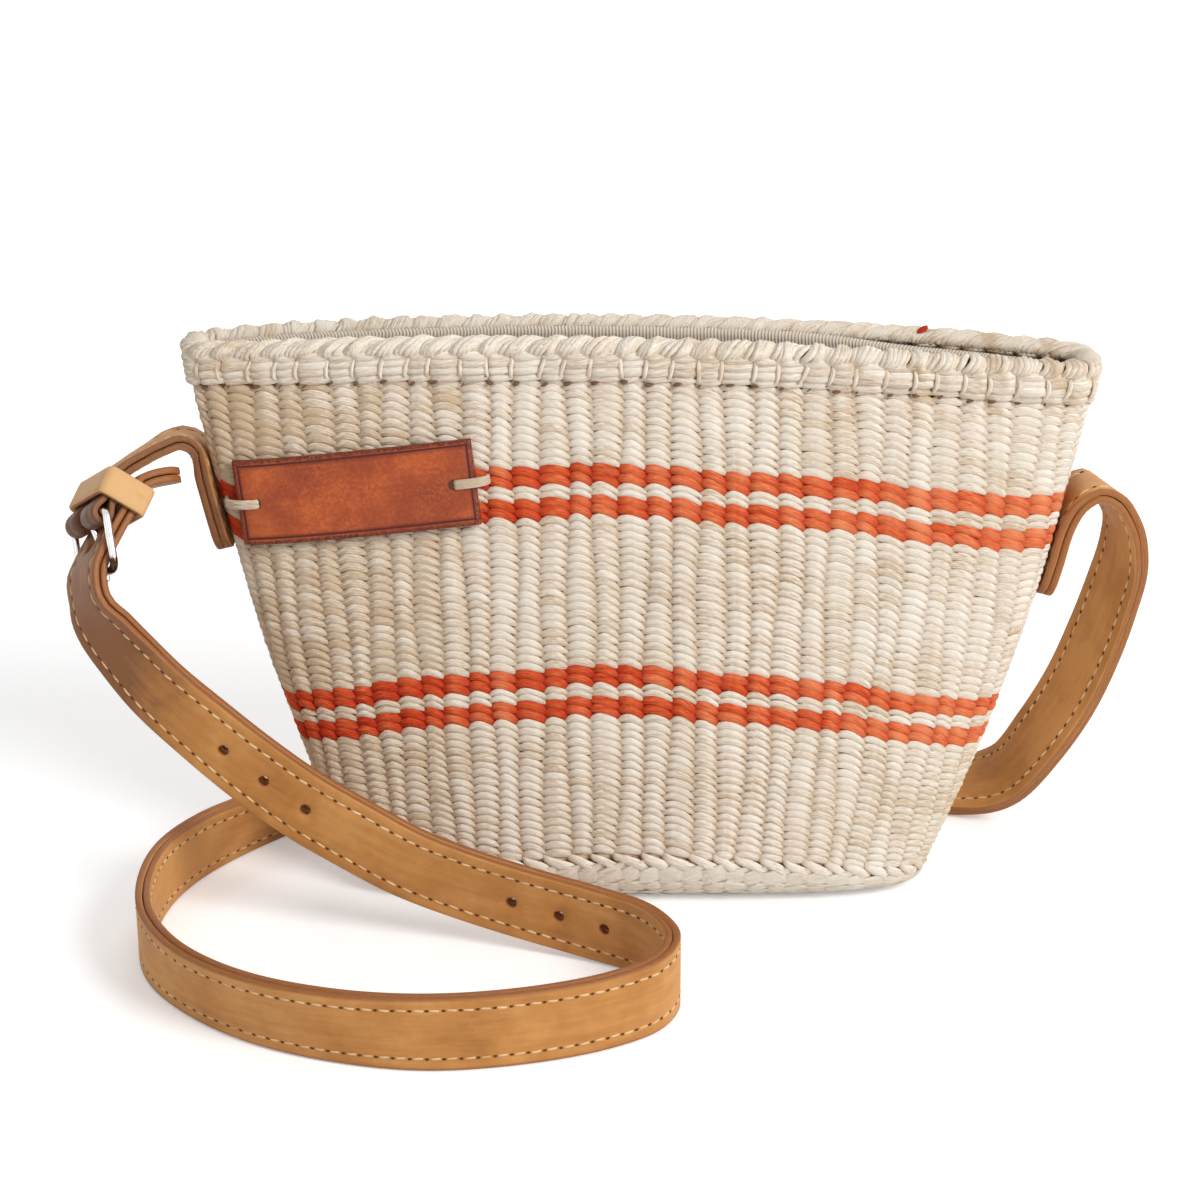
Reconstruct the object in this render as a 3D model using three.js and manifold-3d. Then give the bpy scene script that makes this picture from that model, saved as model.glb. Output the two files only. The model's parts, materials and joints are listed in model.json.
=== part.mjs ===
// Crossbody bag: a twined sisal basket with a stitched leather strap.
// Millimetres, +Z up, the front of the bag towards -Y, origin on the floor under the middle of the base.

import * as THREE from 'three';
import { mergeVertices } from 'three/addons/utils/BufferGeometryUtils.js';
import Module from 'manifold-3d';

const wasm = await Module();
wasm.setup();

// Clearances shared by all pieces
const seatGap = 0.3;
const threadGap = 0.4;
const cutOverrun = 3;

// Basket: outside of the twined wall, from the base turn to the mouth
const basketHeight = 163;
const mouthHalfWidth = 125.2;
const mouthHalfDepth = 12.5;
const baseHalfWidth = 82;
const baseHalfDepth = 35;
const wallThickness = 3;
const floorThickness = 3.2;
const turnReach = 14;
const turnHeightFront = 12.5;
const turnHeightEnd = 5;
const braidHeight = 6.5;
const grooveDepth = 1.4;
const facePower = 3;
const nosePower = 5;
const depthLagShare = 0.3;
const endLagShare = 0.17;
const endBulgeShare = 0.25;
const mouthSkewShare = 0.15;

// Coloured rows: heights of the upper edges at the middle of the front, as shares of the basket's
const upperStripeHeightShare = 0.7804;
const lowerStripeHeightShare = 0.4356;
const stripeWidth = 5.2;
const stripePitch = 8.8;

// Rim binding, wrapped over the top of the wall
const rimBandHeight = 12.5;
const rimThickness = 2.4;
const rimBulge = 0.5;
const rimDrop = 5.5;
const rimTiltDrop = 2.5;
const rimWrapCount = 76;
const rimStepsPerWrap = 2;
const rimSlantShare = 0.9;
const rimInnerFootShare = 0.32;
const wallTopShare = 0.74;

// Lining bag
const liningThickness = 0.8;

// Leather strap, two layers sewn back to back
const strapWidth = 21;
const leatherThickness = 2;
const layerGap = 0.3;
const endRounding = 7;
const holeRadius = 1.5;
const holePitch = 14;
const holesPerGroup = 3;
const groupPitch = 91;
const prongHoleDistance = 34;
const firstGroupDistance = 72;

// Buckle of round wire, with its prong
const wireRadius = 1.15;
const buckleLength = 16.2;
const buckleSideGap = 0.65;
const buckleCorner = 2.2;
const prongRadius = 0.9;
const prongEyeWidth = 2.2;
const prongEyeWall = 1.2;
const prongTip = 1.6;
const prongPlay = 1;
const prongSlotWidth = 3.4;
const prongSlotReach = 6;

// Keeper loop round the tab and the tail of the strap
const keeperWidth = 8.5;
const keeperThickness = 1.6;
const keeperGap = 0.6;
const keeperCorner = 0.8;
const keeperDistance = 8.3;
const tabFlareLength = 5;
const tailSlack = 0.5;
const tabStraightLength = 19;

// Feet of the tab and of the strap, sewn flat on the narrow ends of the basket
const tabFootHeight = 98;
const tabFootLength = 22;
const strapFootHeight = 84;
const strapFootLength = 22;

// Label tied to the wall
const labelLength = 67;
const labelHeight = 24;
const labelThickness = 3;
const labelBevel = 0.5;
const labelTilt = 7.2;
const labelEndDistance = 2.43;
const labelHeightShare = 0.73;
const labelHoleInset = 5.5;
const labelHoleRadius = 1.7;
const tieRadius = 1.1;
const tieOverhang = 3.2;

// How finely round shapes are cut
const ringCount = 60;
const outlineSamples = 1440;
const powerSteps = 9;
const halvingSteps = 40;
const bendWeightShare = 0.09;
const lengthSamples = 1500;
const wireSides = 8;
const holeSides = 10;
const cornerSteps = 3;
const foldSteps = 6;
const labelSteps = 8;
const stripStepsPerStop = 2;

const materials = {
  sisal: new THREE.MeshStandardMaterial({ color: 0xe6dccb, roughness: 0.9, metalness: 0 }),
  dyedSisal: new THREE.MeshStandardMaterial({ color: 0xe2602f, roughness: 0.85, metalness: 0 }),
  lining: new THREE.MeshStandardMaterial({ color: 0xa8a39b, roughness: 0.95, metalness: 0 }),
  leather: new THREE.MeshStandardMaterial({ color: 0xc98f4e, roughness: 0.6, metalness: 0 }),
  labelLeather: new THREE.MeshStandardMaterial({ color: 0xb7532c, roughness: 0.45, metalness: 0 }),
  nickel: new THREE.MeshStandardMaterial({ color: 0xd8d8d6, roughness: 0.18, metalness: 1 }),
};

const bag = new THREE.Group();

const point = (x, y, z) => new THREE.Vector3(x, y, z);
const mix = (from, to, share) => from + (to - from) * share;
const along = (start, direction, distance) => start.clone().addScaledVector(direction, distance);
const counted = (count, make) => Array.from({ length: count }, (_, k) => make(k));

// Closed surfaces from rings of points

function signedVolume(points, index) {
  let volume = 0;
  for (let i = 0; i < index.length; i += 3) {
    const [a, b, c] = [points[index[i]], points[index[i + 1]], points[index[i + 2]]];
    volume += a.dot(b.clone().cross(c)) / 6;
  }
  return volume;
}

// Each square between two rings is split along one diagonal, from mirroredFrom on along the other
function loft(rings, closed = false, mirroredFrom = rings.length) {
  const count = rings[0].length;
  const points = rings.flat();
  const index = [];
  const bands = closed ? rings.length : rings.length - 1;
  for (let i = 0; i < bands; i += 1) {
    const low = i * count;
    const high = ((i + 1) % rings.length) * count;
    for (let k = 0; k < count; k += 1) {
      const next = (k + 1) % count;
      const [a, b, c, d] = [low + k, low + next, high + next, high + k];
      if (i < mirroredFrom) index.push(a, b, c, a, c, d);
      else index.push(a, b, d, b, c, d);
    }
  }
  if (!closed) {
    const top = (rings.length - 1) * count;
    for (let k = 1; k < count - 1; k += 1) {
      index.push(0, k + 1, k, top, top + k, top + k + 1);
    }
  }
  if (signedVolume(points, index) < 0) index.reverse();
  const geometry = new THREE.BufferGeometry();
  const positions = points.flatMap((p) => [p.x, p.y, p.z]);
  geometry.setAttribute('position', new THREE.Float32BufferAttribute(positions, 3));
  geometry.setIndex(index);
  geometry.computeVertexNormals();
  return geometry;
}

// A round bar along a row of places, each with the two directions across it
function roundBar(places, radius, closed = false) {
  const rings = places.map(({ at, right, up }) => counted(wireSides, (k) => {
    const angle = (k / wireSides) * Math.PI * 2;
    return along(along(at, right, radius * Math.cos(angle)), up, radius * Math.sin(angle));
  }));
  return loft(rings, closed);
}

// A round cord through a row of points that all lie in one plane
function cordThrough(points, side, radius) {
  const places = points.map((at, i) => {
    const before = points[Math.max(i - 1, 0)];
    const after = points[Math.min(i + 1, points.length - 1)];
    const heading = after.clone().sub(before).normalize();
    return { at, right: side, up: side.clone().cross(heading).normalize() };
  });
  return roundBar(places, radius);
}

// Cuts and joins

function toSolid(source) {
  const bare = source.clone();
  bare.deleteAttribute('normal');
  bare.deleteAttribute('uv');
  const merged = mergeVertices(bare);
  const vertProperties = new Float32Array(merged.attributes.position.array);
  const triVerts = new Uint32Array(merged.index.array);
  return new wasm.Manifold(new wasm.Mesh({ numProp: 3, vertProperties, triVerts }));
}

function fromSolid(solid) {
  const { vertProperties, triVerts } = solid.getMesh();
  const geometry = new THREE.BufferGeometry();
  geometry.setAttribute('position', new THREE.BufferAttribute(vertProperties, 3));
  geometry.setIndex(new THREE.BufferAttribute(triVerts, 1));
  geometry.computeVertexNormals();
  return geometry;
}

function cut(geometry, tools) {
  let solid = toSolid(geometry);
  for (const tool of tools) solid = solid.subtract(toSolid(tool));
  return fromSolid(solid);
}

function addPiece(name, geometry, material) {
  const piece = new THREE.Mesh(geometry, material);
  piece.name = name;
  bag.add(piece);
}

// Basket surface. rise runs from 0 on top of the base turn to 1 at the foot of the rim.

const rimFootHeight = basketHeight - rimBandHeight;
const wallSpan = rimFootHeight - turnHeightFront;
const wallTopLift = wallTopShare * rimBandHeight;

function halfWidthAt(rise) {
  return mix(baseHalfWidth, mouthHalfWidth, rise + endBulgeShare * rise * (1 - rise));
}

function halfDepthAt(rise) {
  return mix(baseHalfDepth, mouthHalfDepth, rise - depthLagShare * rise * (1 - rise));
}

// Distance from the middle to the outline of a unit basket in the direction (c, s)
function unitReach(c, s) {
  let reach = Math.SQRT2;
  for (let i = 0; i < powerSteps; i += 1) {
    const face = (Math.abs(c) * reach) ** facePower;
    const nose = (Math.abs(s) * reach) ** nosePower;
    reach -= (reach * (face + nose - 1)) / (facePower * face + nosePower * nose);
  }
  return reach;
}

function outline(angle, rise, inset) {
  const c = Math.cos(angle);
  const s = Math.sin(angle);
  const reach = unitReach(c, s);
  const across = c * reach;
  const skew = 1 + mouthSkewShare * rise * across;
  return {
    across,
    x: (halfWidthAt(rise) - inset) * across,
    y: (halfDepthAt(rise) - inset) * s * reach * skew,
  };
}

function rowHeight(rise, across) {
  const front = turnHeightFront + rise * wallSpan;
  const endShare = rise - endLagShare * rise * (1 - rise);
  const end = mix(turnHeightEnd, rimFootHeight - rimDrop, endShare);
  return mix(front, end, across * across) - rimTiltDrop * across * rise;
}

function wallPoint(angle, rise, inset, lift = 0) {
  const { across, x, y } = outline(angle, rise, inset);
  return point(x, y, rowHeight(rise, across) + lift);
}

// Angles that space points evenly along an outline, closer together where it bends

const spacingTables = new Map();

function spacingTable(rise) {
  if (spacingTables.has(rise)) return spacingTables.get(rise);
  const bendWeight = bendWeightShare * mouthHalfWidth;
  const places = counted(outlineSamples + 1, (i) => outline((i / outlineSamples) * Math.PI * 2, rise, 0));
  const sums = [0];
  let heading = Math.PI / 2;
  for (let i = 0; i < outlineSamples; i += 1) {
    const [stepX, stepY] = [places[i + 1].x - places[i].x, places[i + 1].y - places[i].y];
    const direction = Math.atan2(stepY, stepX);
    sums.push(sums[i] + Math.hypot(stepX, stepY) + bendWeight * Math.abs(Math.sin(direction - heading)));
    heading = direction;
  }
  spacingTables.set(rise, sums);
  return sums;
}

function angleAlong(rise, share) {
  const sums = spacingTable(rise);
  const target = (share - Math.floor(share)) * sums[outlineSamples];
  let [low, high] = [0, outlineSamples];
  while (high - low > 1) {
    const middle = Math.floor((low + high) / 2);
    if (sums[middle] > target) high = middle;
    else low = middle;
  }
  const part = (target - sums[low]) / (sums[high] - sums[low]);
  return ((low + part) / outlineSamples) * Math.PI * 2;
}

function wallRing(rise, inset, lift = 0) {
  return counted(ringCount, (k) => wallPoint(angleAlong(rise, k / ringCount), rise, inset, lift));
}

// The turn from the wall into the flat bottom: share 0 is the floor, 1 the foot of the wall
function turnRing(share, inset, bottom) {
  const bend = (share * Math.PI) / 2;
  return counted(ringCount, (k) => {
    const angle = angleAlong(0, k / ringCount);
    const { across, x, y } = outline(angle, 0, inset + turnReach * (1 - Math.sin(bend)));
    return point(x, y, mix(bottom, rowHeight(0, across), 1 - Math.cos(bend)));
  });
}

// Grooves of the basket that the braid and the coloured rows lie in, from low to high

const turnShares = [0, 0.35, 0.7];
const innerRiseShares = [0.8, 0.6, 0.4, 0.2, 0];
const plainSpanShare = 0.17;

const upperStripeHeight = upperStripeHeightShare * basketHeight;
const lowerStripeHeight = lowerStripeHeightShare * basketHeight;
const riseOf = (height) => (height - turnHeightFront) / wallSpan;
const stripeBand = (upperEdge) => ({ low: riseOf(upperEdge - stripeWidth), high: riseOf(upperEdge) });

const grooves = {
  turn_braid: { low: 0, high: braidHeight / wallSpan },
  stripe_lower_bottom: stripeBand(lowerStripeHeight - stripePitch),
  stripe_lower_top: stripeBand(lowerStripeHeight),
  stripe_upper_bottom: stripeBand(upperStripeHeight - stripePitch),
  stripe_upper_top: stripeBand(upperStripeHeight),
};

function plainRings(low, high) {
  const extra = Math.floor((high - low) / plainSpanShare);
  return counted(extra, (i) => wallRing(mix(low, high, (i + 1) / (extra + 1)), 0));
}

function makeBasket() {
  const rings = turnShares.map((share) => turnRing(share, 0, 0));
  let reached = 0;
  for (const { low, high } of Object.values(grooves)) {
    rings.push(...plainRings(reached, low), wallRing(low, 0));
    rings.push(wallRing(low, grooveDepth), wallRing(high, grooveDepth), wallRing(high, 0));
    reached = high;
  }
  rings.push(...plainRings(reached, 1), wallRing(1, 0), wallRing(1, 0, wallTopLift));
  rings.push(wallRing(1, wallThickness, wallTopLift), wallRing(1, wallThickness));
  rings.push(...innerRiseShares.map((rise) => wallRing(rise, wallThickness)));
  const innerTurn = [...turnShares].reverse();
  rings.push(...innerTurn.map((share) => turnRing(share, wallThickness, floorThickness)));
  addPiece('basket_body', loft(rings), materials.sisal);
}

// A band of weft that fills its groove, flush with the wall
function makeBand(name, { low, high }, material) {
  const gapRise = seatGap / wallSpan;
  const depth = grooveDepth - seatGap;
  const [bottom, top] = [low + gapRise, high - gapRise];
  const rings = [wallRing(bottom, 0), wallRing(top, 0), wallRing(top, depth), wallRing(bottom, depth)];
  addPiece(name, loft(rings, true), material);
}

// Rim binding: sisal wrapped over the edge of the wall, each turn a bulge with a slanting lay

const outerWrapShares = [[0.55, 0], [1, 0.28], [1, 0.68], [0.35, 0.95]];
const innerWrapShares = [[0.6, 0.94], [1, 0.68]];

function rimProfile() {
  const inside = wallThickness + threadGap;
  const innerFoot = rimInnerFootShare * rimBandHeight;
  const channelTop = wallTopLift + threadGap;
  const crown = rimBandHeight - rimBulge;
  const outer = outerWrapShares.map(([out, up]) => (
    { inset: -threadGap - out * rimThickness, lift: up * crown, side: up > 0 ? -1 : 0, top: 0 }));
  const inner = innerWrapShares.map(([out, up]) => (
    { inset: inside + out * rimThickness, lift: up * crown, side: 1, top: 0 }));
  const channel = [
    { inset: inside + rimThickness, lift: innerFoot },
    { inset: inside, lift: innerFoot },
    { inset: inside, lift: channelTop },
    { inset: -threadGap, lift: channelTop },
    { inset: -threadGap, lift: 0 },
  ];
  const wrapped = [...outer, { inset: wallThickness / 2, lift: crown, side: 0, top: 1 }, ...inner];
  return { wrapped, channel };
}

function makeRimBinding() {
  const { wrapped, channel } = rimProfile();
  const steps = rimWrapCount * rimStepsPerWrap;
  const rings = counted(steps, (i) => {
    const swell = i % rimStepsPerWrap === 0 ? rimBulge : -rimBulge;
    const outside = wrapped.map(({ inset, lift, side, top }) => {
      const slant = (rimSlantShare * lift) / rimBandHeight / rimWrapCount;
      const angle = angleAlong(1, i / steps + slant);
      return wallPoint(angle, 1, inset + side * swell, lift + top * swell);
    });
    const inside = channel.map(({ inset, lift }) => wallPoint(angleAlong(1, i / steps), 1, inset, lift));
    return [...outside, ...inside];
  });
  addPiece('rim_binding', loft(rings, true), materials.sisal);
}

// Lining bag, hung inside the wall with its upper edge under the inner foot of the rim

function makeLining() {
  const outside = wallThickness + seatGap;
  const inside = outside + liningThickness;
  const top = rimInnerFootShare * rimBandHeight - seatGap;
  const floor = floorThickness + seatGap;
  const rises = [...innerRiseShares].reverse();
  const rings = turnShares.map((share) => turnRing(share, outside, floor));
  rings.push(...rises.map((rise) => wallRing(rise, outside)), wallRing(1, outside));
  rings.push(wallRing(1, outside, top), wallRing(1, inside, top), wallRing(1, inside));
  rings.push(...innerRiseShares.map((rise) => wallRing(rise, inside)));
  const innerTurn = [...turnShares].reverse();
  rings.push(...innerTurn.map((share) => turnRing(share, inside, floor + liningThickness)));
  addPiece('lining', loft(rings.reverse()), materials.lining);
}

// Places on the wall

function riseOfRow(across, height) {
  let [low, high] = [0, 1];
  for (let i = 0; i < halvingSteps; i += 1) {
    const middle = (low + high) / 2;
    if (rowHeight(middle, across(middle)) < height) low = middle;
    else high = middle;
  }
  return low;
}

function frontPoint(x, z) {
  const rise = riseOfRow((r) => x / halfWidthAt(r), z);
  const across = x / halfWidthAt(rise);
  const skew = 1 + mouthSkewShare * rise * across;
  const share = (1 - Math.abs(across) ** facePower) ** (1 / nosePower);
  return point(x, -halfDepthAt(rise) * share * skew, z);
}

// Strips of leather. A stop is a place on the middle line with the direction across the strip.

const layerOffset = (leatherThickness + layerGap) / 2;
const halfStack = leatherThickness + layerGap / 2;

const slopeStep = seatGap;
const endWidthAt = (side, height) => halfWidthAt(riseOfRow(() => side, height));

// A place on the middle line of a double strip that lies flat on a narrow end of the basket
function footStop(side, height) {
  const reach = endWidthAt(side, height);
  const slope = (endWidthAt(side, height + slopeStep) - reach) / slopeStep;
  const distance = reach + (seatGap + halfStack) * Math.hypot(1, slope);
  return { at: point(side * distance, 0, height), across: point(0, side, 0) };
}

// Rings of a round end, as shares of its length, and how far its corners are cut back at the very end
const roundedEndShares = [0, 0.12, 0.4, 1];
const endCutShare = 0.94;
const roundedEnd = roundedEndShares.map((share) => (
  { distance: share * endRounding, width: Math.sqrt(1 - (endCutShare * (1 - share)) ** 2) }));

// Rings of the middle keep this share of a step away from the rings of the round ends
const ringMarginShare = 0.3;

function stripCurve(stops) {
  const centre = new THREE.CatmullRomCurve3(stops.map((stop) => stop.at), false, 'centripetal');
  const edge = new THREE.CatmullRomCurve3(stops.map((stop) => stop.across), false, 'catmullrom');
  centre.arcLengthDivisions = lengthSamples;
  const length = centre.getLength();
  const frameAt = (t, width = 1) => {
    const heading = centre.getTangent(t);
    const across = edge.getPoint(t);
    across.addScaledVector(heading, -across.dot(heading)).normalize();
    return { at: centre.getPoint(t), across, out: heading.clone().cross(across), width };
  };
  const shareAt = (distance) => centre.getUtoTmapping(0, distance);
  return { length, frameAt, shareAt, steps: (stops.length - 1) * stripStepsPerStop };
}

function stripFrames({ length, frameAt, shareAt, steps }, roundEnd = true) {
  const margin = ringMarginShare / steps;
  const first = shareAt(endRounding);
  const last = roundEnd ? shareAt(length - endRounding) : 1;
  const frames = roundedEnd.map(({ distance, width }) => frameAt(shareAt(distance), width));
  for (let i = 1; i < steps; i += 1) {
    const t = i / steps;
    if (t > first + margin && t < last - margin) frames.push(frameAt(t));
  }
  if (!roundEnd) return [...frames, frameAt(1)];
  const ending = [...roundedEnd].reverse();
  return [...frames, ...ending.map(({ distance, width }) => frameAt(shareAt(length - distance), width))];
}

function stripSection({ at, across, out, width }, low, high) {
  const half = (strapWidth * width) / 2;
  const corner = (side, lift) => along(along(at, across, side * half), out, lift);
  return [corner(-1, low), corner(1, low), corner(1, high), corner(-1, high)];
}

// A box given by its half sizes along two directions and square to both
function orientedBox(centre, [first, second], halfSizes) {
  const geometry = new THREE.BoxGeometry(...halfSizes.map((half) => half * 2));
  const turn = new THREE.Matrix4().makeBasis(first, second, first.clone().cross(second));
  return geometry.applyMatrix4(turn.setPosition(centre));
}

// A round punch through the strap at a place along it
function punch({ at, out }, radius) {
  const pin = new THREE.CylinderGeometry(radius, radius, (halfStack + cutOverrun) * 2, holeSides);
  const turn = new THREE.Quaternion().setFromUnitVectors(point(0, 1, 0), out);
  return pin.applyQuaternion(turn).translate(at.x, at.y, at.z);
}

// Buckle: acrossBar runs along the heel bar, down points from the heel bar to the end bar

const place = ([x, y, z]) => point(x * mouthHalfWidth, y * baseHalfDepth, z * basketHeight);
const square = (direction, to) => direction.addScaledVector(to, -direction.dot(to)).normalize();

const heel = place([-1.215, -0.743, 0.706]);
const acrossBar = point(0.46, -0.73, 0.5).normalize();
const down = square(point(0.18, -0.5, -0.84), acrossBar);
const inward = acrossBar.clone().cross(down);
const endBar = along(heel, down, buckleLength);

// The tab leaves the heel bar along tabRise; tabInward points from the tab to the tail under it
const tabRise = square(point(0.37, 0.67, 0.65), acrossBar);
const tabInward = tabRise.clone().cross(acrossBar);

const foldRadius = wireRadius + seatGap + leatherThickness / 2;
const heelPass = foldRadius + leatherThickness / 2 + seatGap + halfStack;
const endPass = wireRadius + seatGap + halfStack;

function makeBuckleFrame() {
  const halfWidth = strapWidth / 2 + buckleSideGap + wireRadius;
  const corners = [[1, 0], [1, 1], [-1, 1], [-1, 0]];
  const places = corners.flatMap(([side, far], corner) => counted(cornerSteps + 1, (k) => {
    const angle = ((corner - 1 + k / cornerSteps) * Math.PI) / 2;
    const radial = acrossBar.clone().multiplyScalar(Math.cos(angle)).addScaledVector(down, Math.sin(angle));
    const middleDown = mix(buckleCorner, buckleLength - buckleCorner, far);
    const middle = along(along(heel, down, middleDown), acrossBar, side * (halfWidth - buckleCorner));
    return { at: along(middle, radial, buckleCorner), right: radial, up: inward };
  }));
  addPiece('buckle_frame', roundBar(places, wireRadius, true), materials.nickel);
}

// Prong: an eye round the heel bar and a tongue through the strap to the inner side of the end bar

const prongRest = wireRadius + seatGap + prongRadius;

// Along the tongue: shares of the buckle's length, and of the height at which the tongue rests
const tongueShares = [[0.35, 0.62], [0.7, 1], [1, 1]];
const tongueStartShare = 0.2;
const tongueTipShare = 0.9;

function tonguePoints() {
  const eyeMiddle = wireRadius + seatGap + prongEyeWall / 2;
  const spots = [
    [eyeMiddle, tongueStartShare * prongRest],
    ...tongueShares.map(([reach, lift]) => [reach * buckleLength, lift * prongRest]),
    [buckleLength + prongTip, tongueTipShare * prongRest],
  ];
  return spots.map(([reach, lift]) => along(along(heel, down, reach), inward, lift));
}

function eyeRing(radius, width) {
  const ring = new THREE.CylinderGeometry(radius, radius, width, wireSides * 2);
  const turn = new THREE.Quaternion().setFromUnitVectors(point(0, 1, 0), acrossBar);
  return ring.applyQuaternion(turn).translate(heel.x, heel.y, heel.z);
}

function makeProng() {
  const bore = wireRadius + seatGap;
  const tongue = toSolid(cordThrough(tonguePoints(), acrossBar, prongRadius));
  const eye = toSolid(eyeRing(bore + prongEyeWall, prongEyeWidth));
  const joined = eye.add(tongue).subtract(toSolid(eyeRing(bore, prongEyeWidth + cutOverrun)));
  addPiece('buckle_prong', fromSolid(joined), materials.nickel);
}

// Tab: one strip folded round the heel bar, both ends sewn on the left end of the basket

const tabArch = [
  [[-0.984, -0.006, 0.767], [0.02, -1, 0.03]],
  [[-1.007, -0.026, 0.787], [0.1, -0.97, 0.12]],
  [[-1.042, -0.08, 0.794], [0.2, -0.93, 0.25]],
  [[-1.085, -0.183, 0.785], [0.31, -0.87, 0.36]],
  [[-1.125, -0.303, 0.774], [0.4, -0.8, 0.44]],
];
const tabStraightShares = [0.66, 0.33, 0];

function tabStops() {
  const feet = [0, 0.5, 1].map((share) => footStop(-1, tabFootHeight + share * tabFootLength));
  const arch = tabArch.map(([at, lean]) => ({ at: place(at), across: point(...lean) }));
  const straight = tabStraightShares.map((share) => (
    { at: along(heel, tabRise, share * tabStraightLength), across: acrossBar }));
  return [...feet, ...arch, ...straight];
}

function makeTab() {
  const frames = stripFrames(stripCurve(tabStops()), false);
  const half = leatherThickness / 2;
  const offsetAt = ({ at }) => {
    const share = Math.max(1 - at.distanceTo(heel) / tabFlareLength, 0);
    return mix(layerOffset, foldRadius, share * share * (3 - 2 * share));
  };
  const section = (frame, turn) => {
    const out = frame.out.clone().multiplyScalar(Math.cos(turn)).addScaledVector(tabRise, -Math.sin(turn));
    return stripSection({ ...frame, at: along(frame.at, out, offsetAt(frame)), out }, -half, half);
  };
  const last = frames[frames.length - 1];
  const rings = frames.map((frame) => section(frame, 0));
  for (let k = 1; k < foldSteps; k += 1) rings.push(section(last, (k / foldSteps) * Math.PI));
  rings.push(...[...frames].reverse().map((frame) => section(frame, Math.PI)));
  const folded = loft(rings, false, frames.length);
  const slotMiddle = along(heel, tabRise, (prongSlotReach - foldRadius - cutOverrun) / 2);
  const slotHalf = (prongSlotReach + foldRadius + cutOverrun) / 2;
  const slotSizes = [prongSlotWidth / 2, slotHalf, foldRadius + cutOverrun];
  const slot = orientedBox(slotMiddle, [acrossBar, tabRise], slotSizes);
  addPiece('buckle_tab', cut(folded, [slot]), materials.leather);
}

// Keeper: a flat band closed round the tab and the tail

const tailLift = heelPass + tailSlack;

function roundedRectangle(path, left, right, bottom, top, corner) {
  path.moveTo(left + corner, bottom);
  path.lineTo(right - corner, bottom);
  path.absarc(right - corner, bottom + corner, corner, -Math.PI / 2, 0);
  path.lineTo(right, top - corner);
  path.absarc(right - corner, top - corner, corner, 0, Math.PI / 2);
  path.lineTo(left + corner, top);
  path.absarc(left + corner, top - corner, corner, Math.PI / 2, Math.PI);
  path.lineTo(left, bottom + corner);
  path.absarc(left + corner, bottom + corner, corner, Math.PI, Math.PI * 1.5);
  return path;
}

function makeKeeper() {
  const side = strapWidth / 2 + keeperGap;
  const bottom = -halfStack - keeperGap;
  const top = tailLift + halfStack + keeperGap;
  const wall = keeperThickness;
  const outerCorner = keeperCorner + wall;
  const band = new THREE.Shape();
  roundedRectangle(band, -side - wall, side + wall, bottom - wall, top + wall, outerCorner);
  band.holes.push(roundedRectangle(new THREE.Path(), -side, side, bottom, top, keeperCorner));
  const settings = { depth: keeperWidth, bevelEnabled: false, curveSegments: cornerSteps };
  const geometry = new THREE.ExtrudeGeometry(band, settings).translate(0, 0, -keeperWidth / 2);
  const middle = along(heel, tabRise, keeperDistance);
  const turn = new THREE.Matrix4().makeBasis(acrossBar, tabInward, acrossBar.clone().cross(tabInward));
  geometry.applyMatrix4(turn.setPosition(middle));
  addPiece('keeper_loop', fromSolid(toSolid(geometry)), materials.leather);
}

// Strap: tail under the tab, through the buckle, down to the floor, once round in front
// and behind the basket, up on the right and over to its foot on the right end

const tailShares = [
  [[1.263, 0.863], [0.2, -0.9, 0.38]],
  [[1.105, 0.663], [0.3, -0.86, 0.42]],
  [[0.895, 0.453], [0.4, -0.8, 0.45]],
];

const strandPlaces = [
  [[-1.18, -1.137, 0.544], [0.64, -0.56, 0.52]],
  [[-1.130, -1.145, 0.490], [0.66, -0.43, 0.62]],
  [[-1.064, -1.202, 0.434], [0.64, -0.31, 0.7]],
  [[-0.969, -1.259, 0.369], [0.6, -0.21, 0.77]],
  [[-0.866, -1.331, 0.305], [0.56, -0.14, 0.82]],
  [[-0.754, -1.402, 0.244], [0.5, -0.09, 0.86]],
  [[-0.637, -1.485, 0.195], [0.43, -0.07, 0.9]],
  [[-0.517, -1.545, 0.147], [0.33, -0.08, 0.94]],
  [[-0.397, -1.616, 0.115], [0.22, -0.08, 0.97]],
  [[-0.262, -1.716, 0.089], [0.13, -0.05, 0.99]],
  [[-0.105, -1.902, 0.070], [0.05, 0, 1]],
];

const floorPlaces = [
  [[-0.004, -2.12], 0],
  [[0.045, -2.38], 0],
  [[0.066, -2.68], 0],
  [[0.03, -3.06], 0],
  [[-0.068, -3.35], 0],
  [[-0.24, -3.6], 0],
  [[-0.447, -3.715], 0],
  [[-0.635, -3.63], 6],
  [[-0.828, -3.34], 10],
  [[-0.976, -2.88], 10],
  [[-1.07, -2.3], 4],
  [[-1.098, -1.686], 0],
  [[-1.078, -1.03], -3],
  [[-1.01, -0.48], -10],
  [[-0.885, 0.08], -19],
  [[-0.719, 0.686], -14],
  [[-0.479, 1.2], 0],
  [[-0.2, 1.429], 0],
  [[0.12, 1.471], 0],
  [[0.4, 1.414], 24],
  [[0.583, 1.286], 60],
  [[0.695, 1.157], 83],
];

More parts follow.
